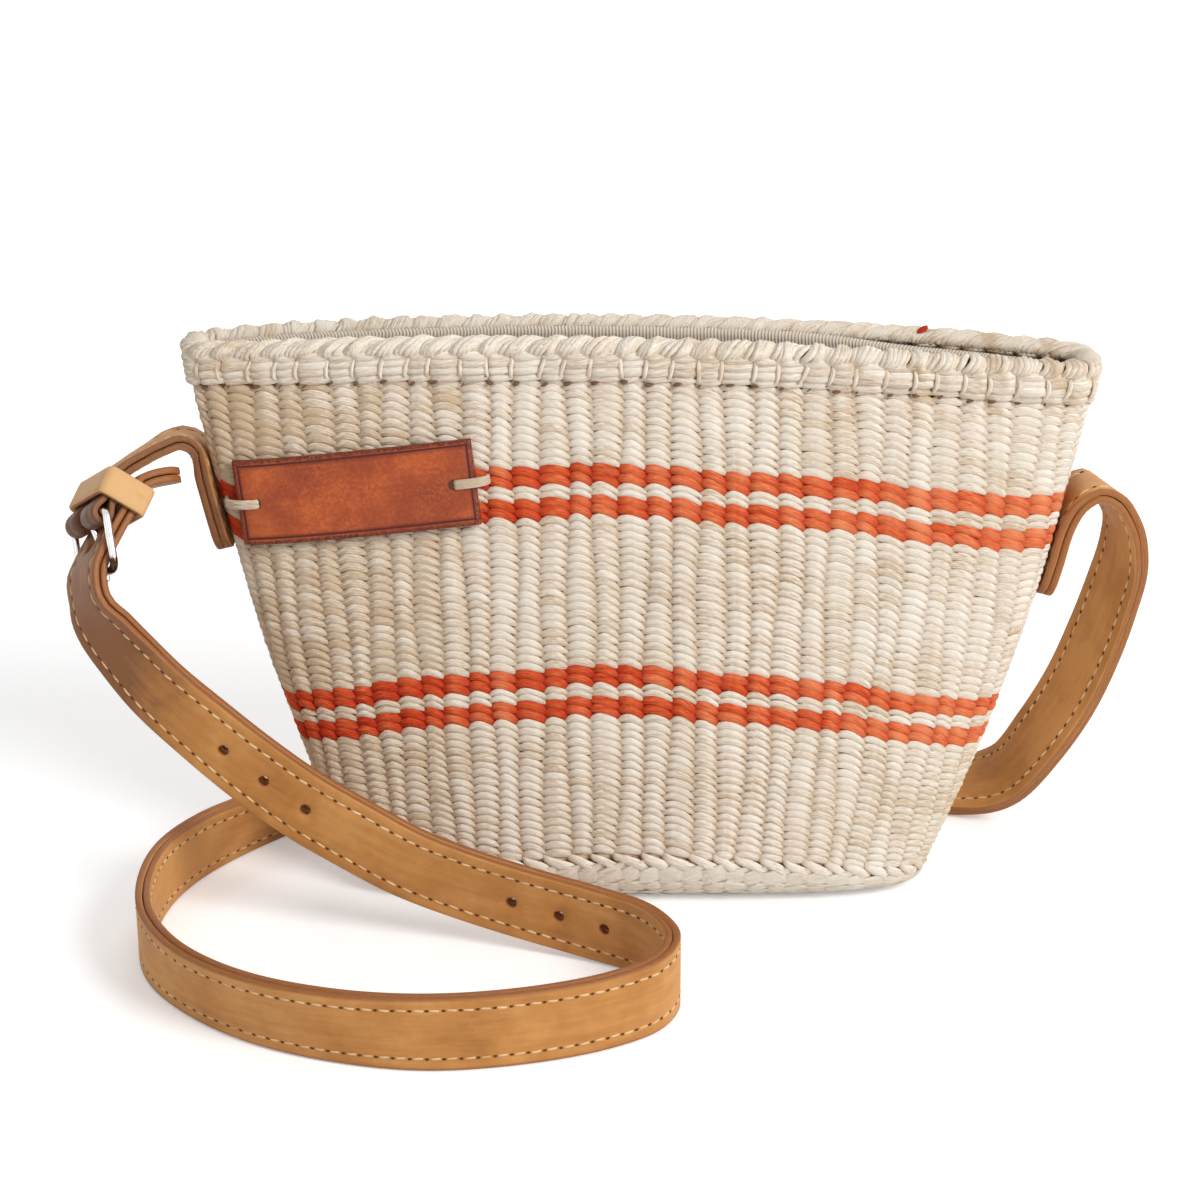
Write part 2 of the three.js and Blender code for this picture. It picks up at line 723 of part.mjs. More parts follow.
const archPlaces = [
  [[0.783, 0.986, 0.0475], [-0.2, 0.97, 0.18]],
  [[0.863, 0.771, 0.089], [-0.25, 0.93, 0.33]],
  [[0.935, 0.529, 0.1871], [-0.38, 0.85, 0.36]],
  [[0.998, 0.414, 0.2859], [-0.45, 0.82, 0.35]],
  [[1.045, 0.323, 0.3902], [-0.48, 0.82, 0.31]],
  [[1.078, 0.237, 0.4871], [-0.46, 0.85, 0.27]],
  [[1.097, 0.16, 0.5644], [-0.42, 0.88, 0.2]],
  [[1.094, 0.1, 0.6258], [-0.33, 0.94, 0.05]],
  [[1.075, 0.071, 0.6613], [-0.3, 0.95, -0.05]],
  [[1.048, 0.051, 0.6914], [-0.27, 0.96, -0.08]],
  [[1.011, 0.031, 0.7049], [-0.18, 0.98, -0.06]],
  [[0.981, 0.014, 0.6908], [-0.06, 0.99, 0]],
];

// Places under the tab, given by the distance along it and the distance below it
function tailStops() {
  const spot = (rise, lift) => along(along(heel, tabRise, rise), tabInward, lift);
  const free = tailShares.map(([[rise, lift], lean]) => (
    { at: spot(rise * tabStraightLength, lift * tabStraightLength), across: point(...lean) }));
  const held = [
    spot(keeperDistance + keeperWidth / 2 + keeperGap, tailLift),
    spot(keeperDistance, tailLift),
    spot(keeperDistance - keeperWidth / 2 - keeperGap, mix(heelPass, tailLift, 0.5)),
  ];
  return [...free, ...held.map((at) => ({ at, across: acrossBar }))];
}

// The strap passes inside the heel bar and outside the end bar, straight in between
function crossingStops() {
  const lean = Math.asin((heelPass + endPass) / buckleLength);
  const spots = [
    [heelPass * Math.sin(lean), heelPass * Math.cos(lean)],
    [buckleLength - endPass * Math.sin(lean), -endPass * Math.cos(lean)],
    [buckleLength, -endPass],
    [buckleLength + endRounding, -endPass],
  ];
  return spots.map(([reach, lift]) => (
    { at: along(along(heel, down, reach), inward, lift), across: acrossBar }));
}

// On the floor the lower edge of the strap touches the ground whatever its lean in degrees
function floorStop([x, y], lean, previous, next) {
  const tilt = THREE.MathUtils.degToRad(Math.abs(lean));
  const height = (strapWidth / 2) * Math.cos(tilt) + halfStack * Math.sin(tilt) + seatGap;
  const heading = point(next[0] - previous[0], 0, 0).setX((next[0] - previous[0]) * mouthHalfWidth);
  heading.setY((next[1] - previous[1]) * baseHalfDepth).normalize();
  const side = point(-heading.y, heading.x, 0).multiplyScalar(Math.sign(lean) * Math.sin(tilt));
  return { at: point(x * mouthHalfWidth, y * baseHalfDepth, height), across: side.setZ(Math.cos(tilt)) };
}

function floorStops() {
  const spots = floorPlaces.map(([at]) => at);
  return floorPlaces.map(([at, lean], i) => {
    const previous = spots[Math.max(i - 1, 0)];
    const next = spots[Math.min(i + 1, spots.length - 1)];
    return floorStop(at, lean, previous, next);
  });
}

function strapStops() {
  const free = (places) => places.map(([at, lean]) => ({ at: place(at), across: point(...lean) }));
  const feet = [1, 0.5, 0].map((share) => footStop(1, strapFootHeight + share * strapFootLength));
  return [
    ...tailStops(), ...crossingStops(), ...free(strandPlaces), ...floorStops(), ...free(archPlaces), ...feet,
  ];
}

function strapHoles(curve) {
  const inTail = counted(holesPerGroup - 1, (k) => prongHoleDistance - (k + 1) * holePitch);
  const groups = [0, 1].flatMap((group) => counted(holesPerGroup, (k) => (
    prongHoleDistance + firstGroupDistance + group * groupPitch + k * holePitch)));
  const punches = [...inTail, ...groups].map((distance) => (
    punch(curve.frameAt(curve.shareAt(distance)), holeRadius)));
  return [...punches, cordThrough(tonguePoints(), acrossBar, prongRadius + prongPlay)];
}

function makeStrap() {
  const curve = stripCurve(strapStops());
  const frames = stripFrames(curve);
  const holes = strapHoles(curve);
  const layer = (near, far) => cut(loft(frames.map((frame) => stripSection(frame, near, far))), holes);
  addPiece('strap_outer', layer(layerGap / 2, halfStack), materials.leather);
  addPiece('strap_inner', layer(-layerGap / 2, -halfStack), materials.leather);
}

// Label: a thick leather plate that follows the wall, with a tie hole at each end

const labelAngle = THREE.MathUtils.degToRad(labelTilt);
const labelMiddleHeight = labelHeightShare * basketHeight;
const tieReach = labelLength / 2 + tieOverhang;
const leftTieHeight = labelMiddleHeight - tieReach * Math.sin(labelAngle);
const leftTieX = labelEndDistance - endWidthAt(-1, leftTieHeight);
const labelMiddle = { x: leftTieX + tieReach * Math.cos(labelAngle), z: labelMiddleHeight };

// A place on the label's back: distances from its middle along its length and its height
function labelPlace(lengthwise, upwards) {
  const c = Math.cos(labelAngle);
  const s = Math.sin(labelAngle);
  const spot = (rise) => frontPoint(
    labelMiddle.x + lengthwise * c - rise * s, labelMiddle.z + lengthwise * s + rise * c);
  const spots = [-0.5, -0.25, 0, 0.25, 0.5].map((share) => spot(share * labelHeight));
  const [low, high] = [spots[0], spots[spots.length - 1]];
  const up = high.clone().sub(low).normalize();
  const out = up.clone().cross(point(c, 0, s)).normalize().negate();
  const proud = Math.max(...spots.map((wall) => wall.clone().sub(low).dot(out)), 0);
  const base = low.clone().add(high).multiplyScalar(0.5);
  return { at: along(along(base, up, upwards), out, proud + threadGap), up, out };
}

function makeLabel() {
  const half = labelHeight / 2;
  const profile = [
    [-half, 0], [half, 0], [half, labelThickness - labelBevel], [half - labelBevel, labelThickness],
    [labelBevel - half, labelThickness], [-half, labelThickness - labelBevel],
  ];
  const rings = counted(labelSteps + 1, (k) => {
    const { at, up, out } = labelPlace((k / labelSteps - 0.5) * labelLength, 0);
    return profile.map(([high, deep]) => along(along(at, up, high), out, deep));
  });
  const holes = [-1, 1].map((side) => punch(tieFoot(side), labelHoleRadius));
  addPiece('label', cut(loft(rings), holes), materials.labelLeather);
}

const tieFoot = (side) => labelPlace(side * (labelLength / 2 - labelHoleInset), 0);

// A tie comes out of the wall through the hole, over the label's end and back into the wall
function makeLabelTie(name, side) {
  const foot = tieFoot(side);
  const edge = labelPlace(side * (labelLength / 2 + seatGap), 0);
  const beyond = labelPlace(side * tieReach, 0);
  const crest = labelThickness + seatGap + tieRadius;
  const outwards = foot.up.clone().cross(foot.out).multiplyScalar(side);
  const points = [
    foot.at,
    along(foot.at, foot.out, crest - tieRadius),
    along(along(foot.at, foot.out, crest), outwards, tieRadius),
    along(edge.at, edge.out, crest),
    along(beyond.at, beyond.out, crest / 2),
    beyond.at,
  ];
  addPiece(name, cordThrough(points, foot.up, tieRadius), materials.sisal);
}

makeBasket();
makeBand('turn_braid', grooves.turn_braid, materials.sisal);
for (const [name, groove] of Object.entries(grooves)) {
  if (name !== 'turn_braid') makeBand(name, groove, materials.dyedSisal);
}
makeRimBinding();
makeLining();
makeLabel();
makeLabelTie('label_tie_left', -1);
makeLabelTie('label_tie_right', 1);
makeTab();
makeBuckleFrame();
makeProng();
makeKeeper();
makeStrap();

export default bag;
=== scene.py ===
"""Looks of a twined sisal crossbody bag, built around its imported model.

Lengths are in millimetres, as a maker reads them, until a mesh is made. The front of the bag faces -Y.
"""

import json
import math

import bpy
import numpy as np
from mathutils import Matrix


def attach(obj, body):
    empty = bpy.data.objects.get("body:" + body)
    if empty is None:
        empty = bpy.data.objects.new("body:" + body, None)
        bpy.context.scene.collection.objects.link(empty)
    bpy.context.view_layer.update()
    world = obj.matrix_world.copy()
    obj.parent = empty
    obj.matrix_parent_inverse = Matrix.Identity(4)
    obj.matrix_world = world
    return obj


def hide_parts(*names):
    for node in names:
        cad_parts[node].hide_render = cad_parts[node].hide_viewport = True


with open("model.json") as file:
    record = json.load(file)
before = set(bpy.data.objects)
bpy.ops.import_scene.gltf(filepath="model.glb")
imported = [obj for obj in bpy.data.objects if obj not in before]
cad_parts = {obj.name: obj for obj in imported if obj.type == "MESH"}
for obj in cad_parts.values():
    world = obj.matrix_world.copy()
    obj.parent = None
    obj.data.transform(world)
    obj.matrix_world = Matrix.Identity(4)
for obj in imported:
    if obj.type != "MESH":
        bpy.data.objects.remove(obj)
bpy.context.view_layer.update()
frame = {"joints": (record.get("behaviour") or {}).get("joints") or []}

MM = 0.001
rng = np.random.default_rng(2219)

# Camera, as in the photograph
SENSOR_WIDTH, LENS = 36.0, 132.0
CAMERA_DISTANCE, CAMERA_ELEVATION = 1.25, 22.0
CAMERA_TARGET = (-0.0114, 0.0, 0.0806)

# Basket: outside of the wall
BASKET_HEIGHT = 163.0
MOUTH_HALF_WIDTH, MOUTH_HALF_DEPTH = 125.2, 12.5
BASE_HALF_WIDTH, BASE_HALF_DEPTH = 82.0, 35.0
WALL_THICKNESS = 3.0
TURN_REACH, TURN_HEIGHT_FRONT, TURN_HEIGHT_END = 14.0, 12.5, 5.0
FACE_POWER, NOSE_POWER = 3, 5
DEPTH_LAG, END_LAG, END_BULGE, MOUTH_SKEW = 0.3, 0.17, 0.25, 0.15
RIM_BAND, RIM_DROP, RIM_TILT = 12.5, 5.5, 2.5
RIM_FOOT_HEIGHT = BASKET_HEIGHT - RIM_BAND
WALL_SPAN = RIM_FOOT_HEIGHT - TURN_HEIGHT_FRONT
WALL_TOP_LIFT = 0.74 * RIM_BAND

# A stitch rises to its crest and sinks at both ends, less so on the right. Waves of a row: height, how many, start
CREST_SHARE = 0.42
ROW_DIP = 2.1
FLATTER_RIGHT = 0.4
ROW_WAVES = ((0.55, 3, 0.1), (0.4, 8, 0.37), (0.22, 19, 0.7))
PLAIN_STITCH = {"slant": -0.25, "taper": 0.75, "dip": ROW_DIP}
# Stripe stitches carry extra painted shade, so their grooves read darker red.
STRIPE_STITCH = {"slant": -0.6, "taper": 0.5, "dip": 0.8 * ROW_DIP, "extra_painted_shade": 0.18}

# Ribs run up the wall, rows run round it. Rows: lower edge, upper edge, how many, and the coloured row they are in
RIBS = 72
BASE_CROWDING = 0.17
BRAID_TOP = 19.0
BRAID_BENDS = (1.03, 0.78, 0.55, 0.3, 0.0)
ROW_BANDS = [
    (BRAID_TOP, 57.0, 17, None),
    (57.0, 62.2, 2, "stripe_lower_bottom"),
    (62.2, 65.8, 2, None),
    (65.8, 71.0, 2, "stripe_lower_top"),
    (71.0, 113.2, 19, None),
    (113.2, 118.4, 2, "stripe_upper_bottom"),
    (118.4, 122.0, 2, None),
    (122.0, 127.2, 2, "stripe_upper_top"),
    (127.2, RIM_FOOT_HEIGHT + 1.0, 11, None),
]

# Strap leather
STRAP_WIDTH = 21.0
LEATHER = 2.0
LAYER_GAP = 0.3
HALF_STACK = LEATHER + LAYER_GAP / 2
SEAT_GAP = 0.3
END_ROUNDING = 7.0
HOLE_RADIUS = 1.5
STITCH_INSET, STITCH_PITCH, STITCH_LENGTH = 3.4, 4.4, 3.5
THREAD_RADIUS, GROOVE_DEPTH = 0.36, 0.22


# Small vector helpers


NUDGE = 1e-3


def mix(low, high, share):
    return low + (high - low) * share


def unit(vectors):
    return vectors / np.linalg.norm(vectors, axis=-1, keepdims=True)


def smooth(value):
    value = np.clip(value, 0, 1)
    return value * value * (3 - 2 * value)


# Basket surface: share runs once round from the right end, rise from 0 over the base turn to 1 at the rim


def unit_reach(c, s):
    reach = np.full(np.shape(c), math.sqrt(2))
    for _ in range(10):
        face = (np.abs(c) * reach) ** FACE_POWER
        nose = (np.abs(s) * reach) ** NOSE_POWER
        reach = reach - reach * (face + nose - 1) / (FACE_POWER * face + NOSE_POWER * nose)
    return reach


def half_width_at(rise):
    return mix(BASE_HALF_WIDTH, MOUTH_HALF_WIDTH, rise + END_BULGE * rise * (1 - rise))


def half_depth_at(rise):
    return mix(BASE_HALF_DEPTH, MOUTH_HALF_DEPTH, rise - DEPTH_LAG * rise * (1 - rise))


def outline(angle, rise, inset):
    c, s = np.cos(angle), np.sin(angle)
    reach = unit_reach(c, s)
    across = c * reach
    skew = 1 + MOUTH_SKEW * rise * across
    return across, (half_width_at(rise) - inset) * across, (half_depth_at(rise) - inset) * s * reach * skew


def row_height(rise, across):
    front = TURN_HEIGHT_FRONT + rise * WALL_SPAN
    end = mix(TURN_HEIGHT_END, RIM_FOOT_HEIGHT - RIM_DROP, rise - END_LAG * rise * (1 - rise))
    return mix(front, end, across * across) - RIM_TILT * across * rise


ANGLES = np.linspace(0, 2 * math.pi, 2881)
TABLE_RISES = np.linspace(0, 1, 9)


def length_table(rise):
    _, x, y = outline(ANGLES, rise, 0)
    sums = np.concatenate([[0], np.cumsum(np.hypot(np.diff(x), np.diff(y)))])
    return sums / sums[-1]


LENGTH_TABLES = [length_table(rise) for rise in TABLE_RISES]


def angle_at(share, rise):
    """The direction of a share of the way round, evenly along the outline at that rise."""
    share, rise = np.broadcast_arrays(np.asarray(share, float), np.asarray(rise, float))
    turns = np.floor(share)
    choices = np.stack([np.interp(share - turns, table, ANGLES) for table in LENGTH_TABLES])
    spot = np.clip(rise, 0, 1) * (len(TABLE_RISES) - 1)
    low = np.minimum(spot.astype(int), len(TABLE_RISES) - 2)
    below = np.take_along_axis(choices, low[None], 0)[0]
    above = np.take_along_axis(choices, low[None] + 1, 0)[0]
    return mix(below, above, spot - low) + turns * 2 * math.pi


def wall_point(share, rise, inset=0.0, lift=0.0):
    across, x, y = outline(angle_at(share, rise), rise, inset)
    return np.stack([x, y, row_height(rise, across) + lift], -1)


def turn_point(share, bend, inset=0.0, lift=0.0):
    """The turn under the wall: bend is 0 on the floor and 1 at the foot of the wall."""
    corner = bend * math.pi / 2
    across, x, y = outline(angle_at(share, 0), 0, inset + TURN_REACH * (1 - np.sin(corner)))
    return np.stack([x, y, row_height(0, across) * (1 - np.cos(corner)) + lift], -1)


def bottom_point(share, spread):
    """The flat bottom: spread is 0 along its middle and 1 where the turn begins."""
    reach = BASE_HALF_DEPTH - 0.6 - TURN_REACH
    _, x, y = outline(angle_at(share, 0), 0, TURN_REACH + (1 - spread) * reach)
    return np.stack([x, y, np.zeros_like(x)], -1)


def frames_on(surface, share, level):
    """Place, up and outward directions on one of the surfaces above."""
    at = surface(share, level)
    around = surface(share + NUDGE, level) - surface(share - NUDGE, level)
    up = unit(surface(share, level + NUDGE) - surface(share, level - NUDGE))
    out = unit(np.cross(around, up))
    return at, up, out


# Meshes from arrays. Each mark of a point: name, kind, field and how many numbers


MARKS = (("grain", "FLOAT_VECTOR", "vector", 3), ("tone", "FLOAT", "value", 1), ("depth", "FLOAT", "value", 1),
         ("edge", "FLOAT", "value", 1))


def new_object(name, data):
    made = bpy.data.objects.new(name, data)
    bpy.context.scene.collection.objects.link(made)
    return made


def enclosed_volume(part):
    volume = 0.0
    for faces in part["faces"]:
        corners = part["points"][faces]
        for k in range(1, faces.shape[1] - 1):
            triple = np.cross(corners[:, k], corners[:, k + 1])
            volume += np.einsum("ij,ij->", corners[:, 0], triple)
    return volume


def make_part(points, faces, **marks):
    """A closed body of points and faces. Marks are values per point: grain, tone, depth and edge."""
    points = np.asarray(points, float).reshape(-1, 3)
    part = {"points": points, "faces": [np.asarray(f) for f in faces]}
    if enclosed_volume(part) < 0:
        part["faces"] = [f[:, ::-1] for f in part["faces"]]
    for name, _, _, wide in MARKS:
        values = np.asarray(marks.get(name, np.zeros(wide)), float).reshape(-1, wide)
        part[name] = np.broadcast_to(values, (len(points), wide))
    return part


def make_piece(name, parts, material, body="bag", replaced=()):
    """Joins parts into one piece that rides on a body."""
    joined = lambda key: np.concatenate([part[key] for part in parts])
    points = joined("points") * MM
    starts = np.cumsum([0] + [len(part["points"]) for part in parts])
    faces = [f + start for part, start in zip(parts, starts) for f in part["faces"]]
    corners = np.concatenate([f.ravel() for f in faces])
    sizes = np.concatenate([np.full(len(f), f.shape[1]) for f in faces])
    mesh = bpy.data.meshes.new(name)
    mesh.vertices.add(len(points))
    mesh.vertices.foreach_set("co", points.astype(np.float32).ravel())
    mesh.loops.add(len(corners))
    mesh.loops.foreach_set("vertex_index", corners.astype(np.int32))
    mesh.polygons.add(len(sizes))
    mesh.polygons.foreach_set("loop_start", (np.cumsum(sizes) - sizes).astype(np.int32))
    mesh.update(calc_edges=True)
    mesh.shade_smooth()
    for mark, kind, field, _ in MARKS:
        mesh.attributes.new(mark, kind, "POINT").data.foreach_set(field, joined(mark).astype(np.float32).ravel())
    mesh.materials.append(material)
    piece = new_object(name, mesh)
    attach(piece, body)
    if replaced:
        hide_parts(*replaced)
    return piece


def ring_faces(count, steps, sides, closed_path=False):
    """Quads of count tubes, each of steps rings with the given number of sides, and their end caps."""
    bands = steps if closed_path else steps - 1
    i, j, k = np.meshgrid(np.arange(count), np.arange(bands), np.arange(sides), indexing="ij")
    ahead, turned = (j + 1) % steps, (k + 1) % sides
    number = lambda ring, side: ((i * steps + ring) * sides + side).ravel()
    quads = np.stack([number(j, k), number(ahead, k), number(ahead, turned), number(j, turned)], -1)
    if closed_path:
        return [quads]
    first = np.arange(count)[:, None] * steps * sides + np.arange(sides)[None, :]
    last = first + (steps - 1) * sides
    return [quads, first, last[:, ::-1]]


def fibre_part(at, up, out, half_up, half_out, sides, tone, depth=0.0):
    """Many short bundles of fibre. at is (count, steps, 3); half sizes and depth fit (count, steps)."""
    count, steps = at.shape[:2]
    up, out = (np.broadcast_to(way, at.shape)[:, :, None] for way in (up, out))
    half_up, half_out, depth = (np.broadcast_to(v, (count, steps))[..., None] for v in (half_up, half_out, depth))
    turn = np.arange(sides) / sides * 2 * math.pi
    c, s = np.cos(turn), np.sin(turn)
    points = at[:, :, None] + half_out[..., None] * out * c[:, None] + half_up[..., None] * up * s[:, None]
    grain = np.zeros(points.shape)
    grain[..., 0] = np.cumsum(np.linalg.norm(np.diff(at, axis=1, prepend=at[:, :1]), axis=-1), 1)[..., None]
    grain[..., 1] = s * half_up + c * half_out * 0.6
    grain[..., 2] = np.arange(count)[:, None, None] * 3.7
    tones = np.broadcast_to(np.reshape(tone, (-1, 1, 1)), points.shape[:3])
    # Depth paints shade: it darkens crevices, and the flanks of each bundle more than its outward face.
    sunk = np.clip(depth * 0.9 + 0.3 * (1 - c), 0, 1.2)
    return make_part(points, ring_faces(count, steps, sides), grain=grain, tone=tones, depth=sunk)


# Twined wall


def rib_share(rib, rise):
    """Where a gap between two ribs runs. Ribs crowd together at the ends of the base."""
    share = rib / RIBS
    crowding = BASE_CROWDING * (1 - rise)
    turned = rib / RIBS * 2 * math.pi
    wander = 0.0011 * np.sin(turned * 27 + rise * 9.0) + 0.0009 * np.sin(turned * 58 + rise * 17.0)
    return share - crowding * np.sin(4 * math.pi * share) / (4 * math.pi) + wander


def strands(draws, steps, low=0.0, high=1.0, count=RIBS):
    """For one bundle of fibre per rib: the number of each rib, steps along a bundle, and random draws."""
    return np.arange(count)[:, None], np.linspace(low, high, steps)[None, :], rng.normal(0, 1, (draws, count, 1))


def arch_over(t, power=1.0):
    return np.sin(math.pi * t) ** power


def rounded(t, share):
    """How wide a lens is at t from -1 to 1."""
    return np.sqrt(1 - (share * t) ** 2)


def tint(parts, change):
    """Changes the tone of parts by a function of x and z."""
    for part in parts:
        part["tone"] = part["tone"] + change(part["points"][:, :1], part["points"][:, 2:])
    return parts


def stains(x, z):
    """Brown marks in patches under the rim, most of them on the right."""
    under_rim = smooth((z - 134) / 12) * (1 - smooth((z - 157) / 6))
    patchy = np.clip(np.sin(x * 0.33 + 1.0) + 0.7 * np.sin(x * 0.83 + z * 0.5), 0, 1.5)
    return -2.4 * under_rim * (0.3 + 0.7 * smooth((x - 20) / 60)) * patchy


def row_wave(share):
    """Rows don't lie quite level: how far a row is off its height, in millimetres."""
    return sum(high * np.sin(2 * math.pi * (count * share + start)) for high, count, start in ROW_WAVES)


def twined_row(surface, low, high, ribs=RIBS, slant=0.2, bulge=1.0, tone=0.0, waved=True, taper=0.3, lap=0.2,
               dip=0.0, extra_painted_shade=0.0):
    """One row of stitches between two levels of a surface, one stitch over each rib."""
    rib, t, jitter = strands(5, 9, count=ribs)
    level, tall = 0.5 * (low + high), high - low
    left, right = (rib_share((rib + k) * RIBS / ribs, level) for k in (0, 1))
    share = mix(left, right, mix(-lap, 1 + lap, t))
    climb = slant * (t - 0.5) * (1 + 0.2 * jitter[0])
    at, up, out = frames_on(surface, share, level + tall * (climb + 0.05 * jitter[1]))
    if waved:
        at = at + up * row_wave(share)[..., None]
    flatter = 1 - FLATTER_RIGHT * smooth(at[..., 0] / 90)
    rising = t < CREST_SHARE
    from_crest = abs(t - CREST_SHARE) / np.where(rising, CREST_SHARE, 1 - CREST_SHARE)
    drop = dip * flatter * (1 + 0.15 * jitter[1]) * from_crest ** 1.6 * np.where(rising, 0.8, 1.25)
    arch = arch_over(t)
    half_up = 0.5 * np.linalg.norm(surface(share, high) - surface(share, low), axis=-1)
    half_up = half_up * (1.25 - taper + taper * arch) * (1 + 0.04 * jitter[2]) * (1 + 0.13 * jitter[0] * (1 - arch))
    half_out = (0.4 + 0.42 * arch ** 0.7) * (1 + 0.08 * jitter[3]) * bulge
    sink = bulge * (0.9 + (1.7 + 0.1 * jitter[3]) * (1 - arch ** 0.75) * flatter)
    at = at - up * drop[..., None] - out * sink[..., None]
    # The depth mark is painted shade: it grows towards the stitch ends, less on the right, plus any extra painted
    # shade given.
    return fibre_part(at, up, out, half_up, half_out, 8, jitter[4] + tone, (1 - arch ** 1.1) * flatter + extra_painted_shade)


def rise_of(height):
    return (height - TURN_HEIGHT_FRONT) / WALL_SPAN


def twined_wall():
    natural, coloured = [], {}
    for low, high, count, stripe in ROW_BANDS:
        levels = rise_of(np.linspace(low, high, count + 1))
        stitch = STRIPE_STITCH if stripe else PLAIN_STITCH
        rows = [twined_row(wall_point, a, b, **stitch) for a, b in zip(levels, levels[1:])]
        if stripe:
            # Painted light and shade: the stripes grow darker to the left and lighter to the right.
            coloured[stripe] = tint(rows, lambda x, z: x / 35)
        else:
            # Real stains, and painted shade that darkens the left side of the wall, away from the key lamp.
            natural += tint(rows, lambda x, z: stains(x, z) - 4.0 * smooth((-x - 20) / 100))
    return natural, coloured


def ring_loft(rings, **marks):
    """One closed skin through rings of points that lie one inside or over the next."""
    sides = rings[0].shape[0]
    return make_part(np.vstack(rings), ring_faces(1, len(rings), sides), **marks)


def wall_core():
    """The warp behind the stitches, which shows only in the gaps between them. It is painted the deepest crevice
    colour, as painted shade.
    """
    shares = np.linspace(0, 1, 240, endpoint=False)
    bends, rises = np.linspace(0, 1, 7)[:-1], np.linspace(0, 1, 12)
    skin = lambda inset, lift: [turn_point(shares, bend, inset, lift) for bend in bends] \
        + [wall_point(shares, rise, inset) for rise in rises] + [wall_point(shares, 1, inset, WALL_TOP_LIFT)]
    return ring_loft(skin(1.9, 1.7) + skin(WALL_THICKNESS, 3.0)[::-1], depth=1.0)


def slanted_course():
    """The course of leaning stitches where the wall meets the plait of the turn."""
    rib, t, jitter = strands(3, 10)
    share = rib_share(rib + mix(-0.1, 1.5, t) + 0.03 * jitter[0], 0.0)
    at, up, out = frames_on(wall_point, share, rise_of(mix(16.4, 12.0, t)))
    arch = arch_over(t, 0.6)
    half_up = 1.6 * (0.5 + 0.5 * arch) * (1 + 0.06 * jitter[1])
    at = at - out * (1.8 - 1.15 * arch)[..., None]
    return fibre_part(at, up, out, half_up, 0.45 + 0.55 * arch, 8, jitter[2] + 0.6, 0.9 * (1 - arch))


def turn_braid():
    """A smooth plait round the turn under the wall: long flat stitches that overlap."""
    behind = rise_of(np.array([11.0, 13.8, 16.6]))
    sunk_wall = lambda share, rise: wall_point(share, rise, 0.9)
    # The two rows tucked behind the plait are darker: painted shade.
    parts = [twined_row(sunk_wall, a, b, taper=0.5, tone=-3.0, extra_painted_shade=0.7) for a, b in zip(behind, behind[1:])]
    parts.append(twined_row(wall_point, behind[2], rise_of(BRAID_TOP + 0.2), bulge=1.3, taper=0.6, dip=ROW_DIP))
    parts.append(slanted_course())
    for upper, lower, lean in zip(BRAID_BENDS, BRAID_BENDS[1:], (0.9, -0.7, 0.9, -0.7)):
        parts.append(twined_row(turn_point, lower, upper, slant=lean, bulge=0.5, tone=0.8, waved=False, taper=0.12,
                                lap=0.5))
    return parts


def bottom_courses():
    spreads = np.linspace(0.04, 1.0, 9)
    return [twined_row(bottom_point, a, b, ribs=36, bulge=0.7, waved=False) for a, b in zip(spreads, spreads[1:])]


# Rim binding. The path of a wrap over the edge: inset, height, lean along the rim. A lie: offset, swelling


RIM_WRAP_PATH = [(-0.3, 7.3, 0.0), (-1.7, 8.7, 0.1), (-1.5, 10.6, 0.28), (1.4, 11.6, 0.55), (3.8, 10.6, 0.8),
                 (4.4, 9.6, 0.95), (3.9, 8.7, 1.02)]
RIM_MIDDLE = 1.4
BACK_RIM_DROP = 0.9
UPRIGHT = np.array([0.0, 0.0, 1.0])
FLECK_X = 80.6
RIM_LIES = [(-0.44, -1.5), (-0.3, -0.5), (-0.15, 0.1), (0.0, 0.35), (0.15, 0.1), (0.3, -0.5), (0.44, -1.5)]


def rim_frames(share, inset, lift):
    """Places at the rim and the directions round it and outwards. The far side lies a little lower."""
    behind, at, ahead = (wall_point(share + nudge, 1.0, inset, lift) for nudge in (-NUDGE, 0, NUDGE))
    at[..., 2] -= BACK_RIM_DROP * np.maximum(at[..., 1], 0) / MOUTH_HALF_DEPTH
    around = unit(ahead - behind)
    return at, around, unit(np.cross(around, UPRIGHT))


def through(table, steps):
    """Smooth values along a short table of given rows."""
    table = np.asarray(table, float)
    return catmull_rom(table, np.linspace(0, len(table) - 1, steps), False)


def rim_wraps():
    """Over the edge: each wrap is seven lies of fibre that lean along the rim."""
    parts = []
    path = through(RIM_WRAP_PATH, 14)
    side = np.clip((path[:, 0] - RIM_MIDDLE) / 2.5, -1, 1)
    for offset, swell in RIM_LIES:
        rib, t, jitter = strands(4, 14, 0.02, 0.98)
        share = rib_share(rib + offset - 0.05 + path[:, 2] + 0.03 * jitter[0], 1.0)
        arch = arch_over(t)
        swelling = (swell + 0.1 * jitter[1]) * arch
        lift = path[:, 1] + (1 - abs(side)) * swelling + 0.1 * jitter[2]
        at, around, _ = rim_frames(share, path[:, 0] + side * swelling, lift)
        heading = unit(np.gradient(at, axis=1))
        out = unit(np.cross(around, heading))
        size = 0.6 + 0.4 * arch ** 0.5
        parts.append(fibre_part(at, unit(np.cross(heading, out)), out, size, 0.85 * size, 8, 0.7 * jitter[3] + 0.3,
                                0.7 * (1 - arch ** 0.6) + 0.1))
    return parts


def rim_bundles(height):
    """Below the wraps: short bundles that lie along the rim between the upright threads."""
    rib, t, jitter = strands(4, 8)
    share = rib_share(rib + mix(-0.12, 1.12, t), 1.0)
    arch = arch_over(t, 0.6)
    inset = 0.4 + smooth(1 - height / 4) - (1.5 + 0.2 * jitter[1]) * arch
    at, _, out = rim_frames(share, inset, height + 0.5 * (t - 0.5) + 0.1 * jitter[0])
    half_up = 1.5 * (0.68 + 0.32 * arch) * (1 + 0.08 * jitter[2])
    return fibre_part(at, UPRIGHT, out, half_up, 0.5 + 0.5 * arch, 8, jitter[3], 0.8 * (1 - arch))


